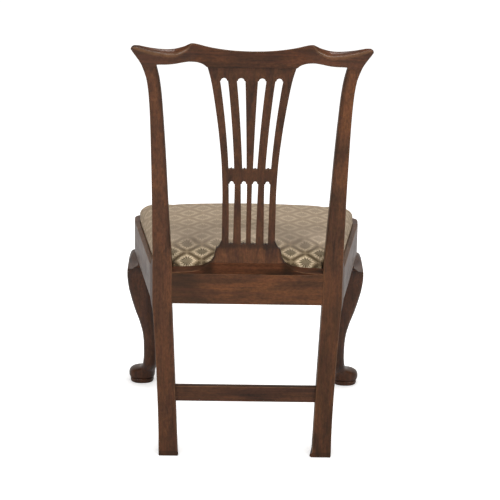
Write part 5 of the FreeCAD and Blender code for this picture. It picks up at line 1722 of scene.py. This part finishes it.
@dataclass
class DropInSeat:
    """Seat frame with webbing, hessian, horsehair and a woven cover."""

    base: float = 415.3
    front: float = 413.5
    rear: float = 25.0
    notch_depth: float = 43.0
    notch_half: float = 167.5
    hem: float = 36.0
    wall: float = 10.5
    shoulder: float = 41.0
    crown: float = 48.0
    shoulder_width: float = 30.0
    corner: float = 6.0
    overhang: float = 4.2
    frame_base: float = 417.1
    frame_thickness: float = 17.0
    # How far the cover and the pad lie inside the seat's outline.
    cover_inset: float = 0.9
    pad_inset: float = 3.2
    # Farthest that the cover swells, and the frames that it takes.
    swelling: float = 4.0
    swell_frames: int = 20
    strap_half: float = 25.0
    strap_thickness: float = 1.6
    strap_lift: float = 1.8
    strap_margin: float = 14.0
    strap_columns: tuple = (-100.0, 0.0, 100.0)
    strap_rows: tuple = (124.0, 222.0, 320.0)
    lining_margin: float = 12.0
    lining_slack: float = 0.25
    pitch_across: float = 66.6
    pitch_along: float = 70.0
    voxel: float = 4.5
    # How much of the overhang there is at a depth.
    bulge: Rows = ((0.0, 0.0), (52.0, 0.0), (85.0, 1.0), (427.0, 1.0))
    # Share of the depth from the front, corner drawn in, wall, shoulder, crown.
    rows: tuple = (
        (0.0, 1.0, 1.0, 0.40, 0.26), (0.022, 0.46, 1.0, 0.70, 0.62),
        (0.06, 0.22, 1.0, 0.90, 0.82), (0.10, 0.06, 1.0, 0.97, 0.90),
        (0.14, 0.0, 1.0, 1.0, 0.94), (0.32, 0.0, 1.0, 1.0, 1.0), (0.60, 0.0, 1.0, 1.0, 1.0),
        (0.80, 0.0, 1.0, 0.95, 0.92), (0.90, 0.0, 1.0, 0.80, 0.76),
        (0.955, 0.0, 0.92, 0.56, 0.55), (0.985, 0.0, 0.76, 0.30, 0.26),
        (1.0, 0.0, 0.60, 0.12, 0.08),
    )

    def half(self, depth: float, inset: float = 0.0) -> float:
        """Half width of the cushion at a depth."""
        return LINES.side(depth) - LINES.border - 1.0 - inset

    def section(self, depth: float, inset: float, half: float, over: float = 0.0) -> Section:
        """Section across the cushion at a depth.

        Args:
            depth: Distance forward of the rear rail's back.
            inset: How far the surface is drawn in.
            half: Half width there.
            over: How far the stuffing bulges over the rail.

        Returns:
            The section, in half width and height.
        """
        share = np.clip((self.front - depth) / (self.front - self.rear), 0.0, 1.0)
        corner, wall, shoulder, crown = (
            float(smooth([(row[0], row[k]) for row in self.rows], share)) for k in (1, 2, 3, 4)
        )
        half = half - self.corner * corner
        top = LINES.seat_height - inset
        wall_z = top + self.wall * wall
        shoulder_z = wall_z + (self.shoulder - self.wall) * shoulder
        crown_z = shoulder_z + (self.crown - self.shoulder) * crown
        inner = half - self.shoulder_width
        made = Section()
        for i in range(5):
            made.add((between(-half, half, i / 4), self.base + inset))
        roll = [(half, top + 0.6), (half + over * 0.7, between(top, wall_z, 0.5))]
        for i in range(9):
            turn = math.pi / 2 * i / 8
            bulge = math.sin(turn) ** 0.86
            x = half + over - (self.shoulder_width + over) * (1 - math.cos(turn))
            roll.append((x, between(wall_z, shoulder_z, bulge)))
        crowned = []
        for i in range(1, 20):
            x = between(inner, -inner, i / 20)
            crowned.append((x, shoulder_z + (crown_z - shoulder_z) * (1 - (x / inner) ** 2)))
        for point in roll + crowned + [(-x, z) for x, z in roll[::-1]]:
            made.add(point)
        return made

    def body(self, name: str, inset: float) -> bpy.types.Object:
        """Closed crowned form of the seat, notched round the posts.

        Args:
            name: Name of the piece.
            inset: How far its surface is drawn in.

        Returns:
            The piece.
        """
        notch = self.notch_depth + inset
        open_part = stations((self.front - inset, 405.0, 380.0, 110.0, 60.0, notch + 0.3), 5.0)
        between_posts = stations((notch, 33.0, self.rear + inset), 2.0)
        rows = [
            (depth, self.half(depth, inset), self.overhang * float(smooth(self.bulge, depth)))
            for depth in open_part
        ]
        rows += [(depth, self.notch_half - inset, 0.0) for depth in between_posts]
        loft = Loft(name)
        for depth, half, over in rows:
            section = self.section(depth, inset, half, over)
            loft.add(section, lambda u, z, d=depth: (u, LINES.back_y - d, z))
        return loft.build()

    def swell(self, pad: bpy.types.Object) -> None:
        """Let the stuffing push the cover out, as cloth under pressure.

        Args:
            pad: Piece to swell, remeshed first.
        """
        scene = bpy.context.scene
        before = points_of(pad.data)
        held = pad.vertex_groups.new(name="held")
        low = (LINES.seat_height - 1.0) * MM
        held.add([i for i, point in enumerate(before) if point[2] < low], 1.0, "REPLACE")
        cloth = pad.modifiers.new("swell", "CLOTH")
        settings = {
            "quality": 6, "mass": 0.3, "tension_stiffness": 20, "compression_stiffness": 20,
            "shear_stiffness": 8, "bending_stiffness": 2.0, "use_pressure": True,
            "uniform_pressure_force": 4.0, "vertex_group_mass": "held",
        }
        for name, value in settings.items():
            setattr(cloth.settings, name, value)
        cloth.settings.effector_weights.gravity = 0.0
        cloth.collision_settings.use_collision = False
        cloth.point_cache.frame_start = 1
        cloth.point_cache.frame_end = self.swell_frames
        for step in range(1, self.swell_frames + 1):
            scene.frame_set(step)
        evaluated = pad.evaluated_get(bpy.context.evaluated_depsgraph_get())
        moved = points_of(evaluated.data) - before
        pad.modifiers.clear()
        scene.frame_set(1)
        length = np.linalg.norm(moved, axis=1)
        cap = self.room(before) * self.swelling * MM
        moved *= np.minimum(1.0, cap / np.maximum(length, 1e-9))[:, None]
        move_points(pad.data, before + moved)
        pad.vertex_groups.clear()

    def room(self, points: np.ndarray) -> np.ndarray:
        """Share of the swelling that there is room for beside the posts and shoe.

        Args:
            points: Points of the cover, in metres.

        Returns:
            The share at each point.
        """
        x, depth = np.abs(points[:, 0]) / MM, LINES.back_y - points[:, 1] / MM
        beside = np.maximum(np.abs(x - 190.0) - 22.0, depth - self.notch_depth)
        behind = depth - self.rear
        return np.clip(np.minimum(beside / 40.0, behind / 30.0), 0.05, 1.0)

    def weave(self, cover: bpy.types.Object) -> None:
        """Lay the cloth's own coordinates over the cover, in lozenges across and along.

        Args:
            cover: The cover.
        """
        mesh = cover.data
        points = points_of(mesh) / MM
        depth = LINES.back_y - points[:, 1]
        fall = np.maximum(0.0, 474.0 - points[:, 2])
        rear = np.clip((95.0 - depth) / 60.0, 0.0, 1.0)
        front = np.clip((depth - 345.0) / 60.0, 0.0, 1.0)
        out = (np.abs(points[:, 0]) - self.half(depth) + 40.0) / 40.0
        out = np.clip(out, 0.0, 1.0) * (1 - rear)
        along = depth - fall * rear * 0.75 + fall * front * 0.75
        across = points[:, 0] + np.sign(points[:, 0]) * fall * out * 0.6
        layer = mesh.uv_layers.new(name="weave")
        corners = np.array([loop.vertex_index for loop in mesh.loops])
        columns = ((across - 2.0) / self.pitch_across, (along - 75.0) / self.pitch_along)
        places = np.stack(columns, axis=1)
        layer.data.foreach_set("uv", places[corners].astype(np.float32).ravel())

    def turn_in(self, cover: bpy.types.Object) -> None:
        """Open the cover's underside and turn its hem in under the frame.

        Args:
            cover: The cover.
        """
        work = bmesh.new()
        work.from_mesh(cover.data)
        floor = (self.base + 0.6) * MM
        under = [
            face for face in work.faces
            if face.calc_center_median().z < floor and face.normal.z < -0.7
        ]
        bmesh.ops.delete(work, geom=under, context="FACES")
        rim = [e for e in work.edges if e.is_boundary]
        front, rear = self.front - self.hem, self.notch_depth + self.hem
        for height in (0.0, 1.4):
            made = bmesh.ops.extrude_edge_only(work, edges=rim)["geom"]
            edges = [e for e in made if isinstance(e, bmesh.types.BMEdge)]
            rim = [e for e in edges if e.is_boundary]
            for vertex in {v for e in rim for v in e.verts}:
                depth = float(np.clip(LINES.back_y - vertex.co.y / MM, rear, front))
                half = self.half(depth) - self.hem
                x = float(np.clip(vertex.co.x / MM, -half, half))
                vertex.co = Vector((x, LINES.back_y - depth, self.base + 0.1 + height)) * MM
        bmesh.ops.remove_doubles(work, verts=work.verts, dist=0.00002)
        work.to_mesh(cover.data)
        work.free()

    def cover(self) -> None:
        """Woven cover over the crown, down the sides and in under the frame."""
        piece = self.body("seat_top", self.cover_inset)
        remesh = piece.modifiers.new("even", "REMESH")
        remesh.mode = "VOXEL"
        remesh.voxel_size = self.voxel * MM
        mesh = applied(piece)
        self.swell(piece)
        points = points_of(mesh)
        flat = points[:, 2] < (self.base + 2.0) * MM
        points[flat, 2] = self.base * MM
        move_points(mesh, points)
        rounder = piece.modifiers.new("rounder", "SUBSURF")
        rounder.levels = 1
        rounder.render_levels = 1
        applied(piece)
        self.turn_in(piece)
        self.weave(piece)
        piece.data.shade_smooth()
        dress(piece, LozengeWeave("wool_and_linen_lozenge_weave"))
        hand_over(piece, "slip_seat", "woven_cover", "seat_cover")

    def hair(self) -> None:
        """Horsehair pad under the cover."""
        pad = self.body("hair_pad", self.pad_inset)
        points = points_of(pad.data) / MM
        middle = LINES.back_y - (self.front + self.rear) / 2
        points[:, 0] *= 0.94
        points[:, 1] = middle + (points[:, 1] - middle) * 0.94
        points[:, 2] = np.maximum(440.6, points[:, 2] - 3.0)
        move_points(pad.data, points * MM)
        pad.data.shade_smooth()
        dress(pad, CurledHair("curled_horsehair"))
        hand_over(pad, "slip_seat", "horsehair", "stuffing")

    def ripple(self, at: float, crossings: Sequence[float], phase: int) -> float:
        """Height of a strap over the frame where it crosses others.

        Args:
            at: Place along the strap.
            crossings: Places of the straps that it crosses.
            phase: Even to pass over the odd crossings, odd to pass over the even ones.

        Returns:
            The height.
        """
        for i, crossing in enumerate(crossings):
            away = abs(at - crossing)
            if (i + phase) % 2 and away < 36.0:
                return self.strap_lift * float(smooth(((0.0, 1.0), (25.0, 1.0), (36.0, 0.0)), away))
        return 0.0

    def straps(self) -> None:
        """Two sets of jute webbing, woven through each other over the frame."""
        lines = LINES
        floor = self.frame_base + self.frame_thickness + 0.25
        low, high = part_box("webbing_front_to_back")
        long_ends = (lines.back_y - high.y / MM, lines.back_y - low.y / MM)
        wide, thick = self.strap_half, self.strap_thickness
        corners = ((-wide, 0.0), (wide, 0.0), (wide, thick), (-wide, thick))
        section = Section.rounded(corners, (0.5,) * 4, 2)

        def place(run: Run, along: float, at: float, lift: float, u: float, h: float) -> Triple:
            """Point of a strap.

            Args:
                run: Way the strap runs.
                along: Place along it.
                at: Place of its middle across it.
                lift: How far it is raised over another strap.
                u: Distance to the side of its middle.
                h: Height within its thickness.

            Returns:
                The point.
            """
            z = floor + lift + h
            if run is Run.FRONT_TO_BACK:
                return (at + u, lines.back_y - along, z)
            return (along, lines.back_y - at + u, z)

        finish = PlainWeave(
            "jute_twill_webbing", thread_pitch=2.2, pale="#A38C63", deep="#57452C"
        )
        for run in Run:
            places, crossings = self.strap_columns, self.strap_rows
            if run is Run.SIDE_TO_SIDE:
                places, crossings = crossings, places
            for column, at in enumerate(places):
                ends, phase = long_ends, column
                if run is Run.SIDE_TO_SIDE:
                    half = self.half(at + self.strap_half, 2.4) - self.strap_margin
                    ends, phase = (-half, half), column + 1
                loft = Loft(f"strap_{run.value}_{column}")
                for along in stations(ends, 5.0):
                    lift = self.ripple(along, crossings, phase)
                    loft.add(section, partial(place, run, along, at, lift))
                piece = dress(even_flats(loft.build()), finish)
                hand_over(piece, "slip_seat", "jute", f"webbing_{run.name.lower()}")

    def lining(self) -> None:
        """Hessian sheet over the webbing, pulled a little slack between its edges."""
        low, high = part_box("hessian")
        rear, front = LINES.back_y - high.y / MM, LINES.back_y - low.y / MM
        thick = (high.z - low.z) / MM
        count = 40
        points, faces = [], []
        for level in (0.0, thick):
            for i in range(count + 1):
                depth = between(rear, front, i / count)
                half = self.half(depth, 2.4) - self.lining_margin
                for j in range(count + 1):
                    slack = math.sin(math.pi * i / count) * math.sin(math.pi * j / count)
                    sag = self.lining_slack * slack * (1 - level / thick) * 0.5
                    x = between(-half, half, j / count)
                    points.append((x, LINES.back_y - depth, low.z / MM + level - sag))
        row = count + 1
        top = row * row
        for i in range(count):
            for j in range(count):
                a = i * row + j
                faces.append((a, a + 1, a + row + 1, a + row))
                faces.append((top + a + row, top + a + row + 1, top + a + 1, top + a))
        for i in range(count):
            edges = (
                (i, i + 1), ((i + 1) * row, i * row), (row * count + i + 1, row * count + i),
                (i * row + row - 1, i * row + row + row - 1),
            )
            faces += [(a, b, top + b, top + a) for a, b in edges]
        cloth = new_object("hessian_sheet", np.array(points), faces, [0.0] * len(points))
        dress(cloth, PlainWeave("hessian_plain_weave", thread_pitch=1.8))
        hand_over(cloth, "slip_seat", "hessian", "hessian")
        wide, narrow = (
            2 * (self.half(depth, 2.4) - self.lining_margin) * MM for depth in (front, rear)
        )

    def build(self) -> None:
        """Every layer of the seat."""
        self.cover()
        self.hair()
        self.lining()
        self.straps()


@dataclass
class HiddenTimber:
    """Glue blocks, the seat's own frame and the tacks, which keep their solids."""

    ends: tuple = ("rear", "front")
    sides: tuple = ("left", "right")

    def build(self) -> None:
        """Dress each solid."""
        beech = {"early": "#A88660", "late": "#957250"}
        groups = (
            (
                [f"corner_block_{end}_{side}" for end in self.ends for side in self.sides],
                RawTimber("sawn_pine", grain=Grain.ACROSS), "pine",
            ),
            (
                [f"seat_frame_{end}" for end in self.ends[::-1]],
                RawTimber("planed_beech_across", grain=Grain.ACROSS, **beech), "beech",
            ),
            (
                [f"seat_frame_{side}" for side in self.sides],
                RawTimber("planed_beech_forward", grain=Grain.FORWARD, **beech), "beech",
            ),
            (["webbing_tacks", "cover_tacks"], BluedSteel("blued_steel"), "blued_steel"),
        )
        for names, finish, slot in groups:
            for name in names:
                node = dress(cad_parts[name], finish)
                LOG.info("%s: %s", name, finish.name)


# Studio


@dataclass
class Studio:
    """White floor with a painted glow, soft lamps and a long lens behind the chair."""

    # Place of the camera and width of its film in millimetres, turns in radians, and
    # focal length and picture width in pixels.
    camera_at: Triple = (59.65, 4370.6, 1838.3)
    pitch: float = 0.3131
    yaw: float = 0.0152
    roll: float = 0.0185
    focal_px: float = 1989.56
    frame_px: float = 500.0
    film: float = 36.0
    # Middles of the left feet, in metres.
    feet: tuple = ((0.252, -0.2484, 0.0), (0.174, 0.1986, 0.0))
    # Name, place and size in metres, and power in watts.
    lamps: tuple = (
        ("left_box", (2.0, 2.5, 1.9), (1.2, 1.5), 46.0),
        ("right_box", (-2.1, 2.3, 2.2), (1.0, 1.4), 52.0),
        ("strip", (-0.1, 1.5, 3.0), (2.2, 0.25), 40.0),
        ("top", (0.0, -0.9, 3.4), (2.4, 2.4), 31.0),
    )
    # Point in metres that the lamps face.
    aim: Triple = (0.0, 0.0, 0.55)
    # Half width of the floor, in millimetres.
    floor_half: float = 9e3
    white: str = "#FFFFFF"
    floor_tone: str = "#E7E7E7"
    room_tone: str = "#FFF8F1"

    def camera(self) -> None:
        """Camera behind the chair and a little above its crest."""
        p, y, r = self.pitch, self.yaw, self.roll
        ahead = np.array((math.sin(y) * math.cos(p), -math.cos(y) * math.cos(p), -math.sin(p)))
        level = np.array((math.cos(y), math.sin(y), 0.0))
        above = np.cross(level, ahead)
        above *= math.copysign(1.0, above[2])
        right = math.cos(r) * level + math.sin(r) * above
        up = math.cos(r) * above - math.sin(r) * level
        mirror = np.array((-1.0, 1.0, 1.0))
        columns = [right * mirror, up * mirror, -ahead * mirror]
        matrix = Matrix.Identity(4)
        for column, axis in enumerate(columns):
            for row in range(3):
                matrix[row][column] = axis[row]
        matrix.translation = Vector(self.camera_at) * MM
        lens = bpy.data.cameras.new("long_lens")
        lens.sensor_fit = "HORIZONTAL"
        lens.sensor_width = self.film
        lens.lens = self.focal_px / self.frame_px * self.film
        lens.clip_end = 60.0
        camera = bpy.data.objects.new("camera", lens)
        camera.matrix_world = matrix
        bpy.context.scene.collection.objects.link(camera)
        bpy.context.scene.camera = camera

    def lamp(self, name: str, at: Triple, size: Pair, power: float) -> None:
        """Soft box that faces the seat.

        Args:
            name: Name of the lamp.
            at: Where it stands, in metres.
            size: Its width and height in metres.
            power: Its power in watts.
        """
        light = bpy.data.lights.new(name, "AREA")
        light.shape = "RECTANGLE"
        light.size, light.size_y = size
        light.energy = power
        lamp = bpy.data.objects.new(name, light)
        lamp.location = at
        lamp.rotation_euler = (Vector(self.aim) - Vector(at)).to_track_quat("-Z", "Y").to_euler()
        bpy.context.scene.collection.objects.link(lamp)

    def nearest_foot(self, tree: Tree, place: Socket) -> Socket:
        """Distance of each point of the floor from the nearest foot.

        Args:
            tree: Node tree.
            place: The point.

        Returns:
            Socket of the distance, in metres.
        """
        node = partial(add_node, tree)
        axes = node("SeparateXYZ", {0: place}).outputs
        aside = node("Math", {0: axes[0]}, operation="ABSOLUTE").outputs[0]
        mirrored = node("CombineXYZ", {0: aside, 1: axes[1]}).outputs[0]
        near, far = (
            node("VectorMath", {0: mirrored, 1: foot}, operation="DISTANCE").outputs["Value"]
            for foot in self.feet
        )
        return node("Math", {0: near, 1: far}, operation="MINIMUM").outputs[0]

    def sweep(self) -> None:
        """White floor that glows for the camera as painted light, with faint shadows under the feet
        and none far off.
        """
        glow_material = bpy.data.materials.new("painted_glow_floor")
        glow_material.use_nodes = True
        tree = glow_material.node_tree
        node = partial(add_node, tree)
        shader = tree.nodes["Principled BSDF"]
        place = node("TexCoord").outputs["Object"]
        tooth = node("TexNoise", {"Scale": 900.0, "Vector": place}).outputs[0]
        bump = node("Bump", {"Strength": 0.05, "Distance": 0.0002, "Height": tooth})
        inputs = {
            "Normal": bump.outputs[0], "Base Color": linear(self.floor_tone), "Roughness": 0.95,
            "Specular IOR Level": 0.1,
        }
        set_inputs(tree, shader, inputs)
        nearest = self.nearest_foot(tree, place)
        # Painted glow, seen by the camera alone, dimmer near the feet so that their shadows show.
        glow = node("MapRange", {0: nearest, 1: 0.03, 2: 0.11, 3: 0.45, 4: 0.85}).outputs[0]
        painted_glow = node("Emission", {0: linear(self.white), 1: glow}).outputs[0]
        seen = node("AddShader", {0: shader.outputs[0], 1: painted_glow}).outputs[0]
        seen_by = node("LightPath").outputs["Is Camera Ray"]
        both = node("MixShader", {0: seen_by, 1: shader.outputs[0], 2: seen})
        tree.links.new(both.outputs[0], tree.nodes["Material Output"].inputs[0])
        half = self.floor_half
        corners = ((-half, -half, 0.0), (half, -half, 0.0), (half, half, 0.0), (-half, half, 0.0))
        floor = new_object("glowing_floor", np.array(corners), [(0, 1, 2, 3)], [0.0] * 4)
        floor.data.materials.append(glow_material)

    def surroundings(self) -> None:
        """White surroundings as the camera sees them, and a dimmer warm room as light."""
        world = bpy.data.worlds.new("white_studio")
        world.use_nodes = True
        tree = world.node_tree
        tree.nodes.clear()
        node = partial(add_node, tree)
        place = node("TexCoord").outputs["Generated"]
        axes = node("SeparateXYZ", {0: place}).outputs
        behind = node("MapRange", {0: axes[1], 1: -0.6, 2: 0.5, 3: 0.62, 4: 0.22}).outputs[0]
        height = node("MapRange", {0: axes[2], 1: 0.1, 2: 0.7, 3: 1.0, 4: 0.35}).outputs[0]
        strength = node("Math", {0: behind, 1: height}, operation="MULTIPLY").outputs[0]
        room = node("Background", {0: linear(self.room_tone), 1: strength}).outputs[0]
        white = node("Background", {0: linear(self.white), 1: 1.0}).outputs[0]
        seen_by = node("LightPath").outputs["Is Camera Ray"]
        both = node("MixShader", {0: seen_by, 1: room, 2: white}).outputs[0]
        node("OutputWorld", {0: both})
        bpy.context.scene.world = world
        bpy.context.scene.view_settings.view_transform = "Standard"

    def build(self) -> None:
        """Floor, surroundings, lamps and camera."""
        self.sweep()
        self.surroundings()
        for name, at, size, power in self.lamps:
            self.lamp(name, at, size, power)
        self.camera()


def main() -> None:
    """Build the chair, its seat and the studio round it."""
    logging.basicConfig(level=logging.INFO, format="%(name)s: %(message)s")
    parts = (
        RearPosts(), CrestRail(), Splat(), Shoe(), SeatRails(), Stretcher(), FrontLegs(),
        KneeBrackets(), DropInSeat(), HiddenTimber(), Studio(),
    )
    for part in parts:
        part.build()
        LOG.info("built %s", type(part).__name__)


if __name__ == "__main__":
    main()
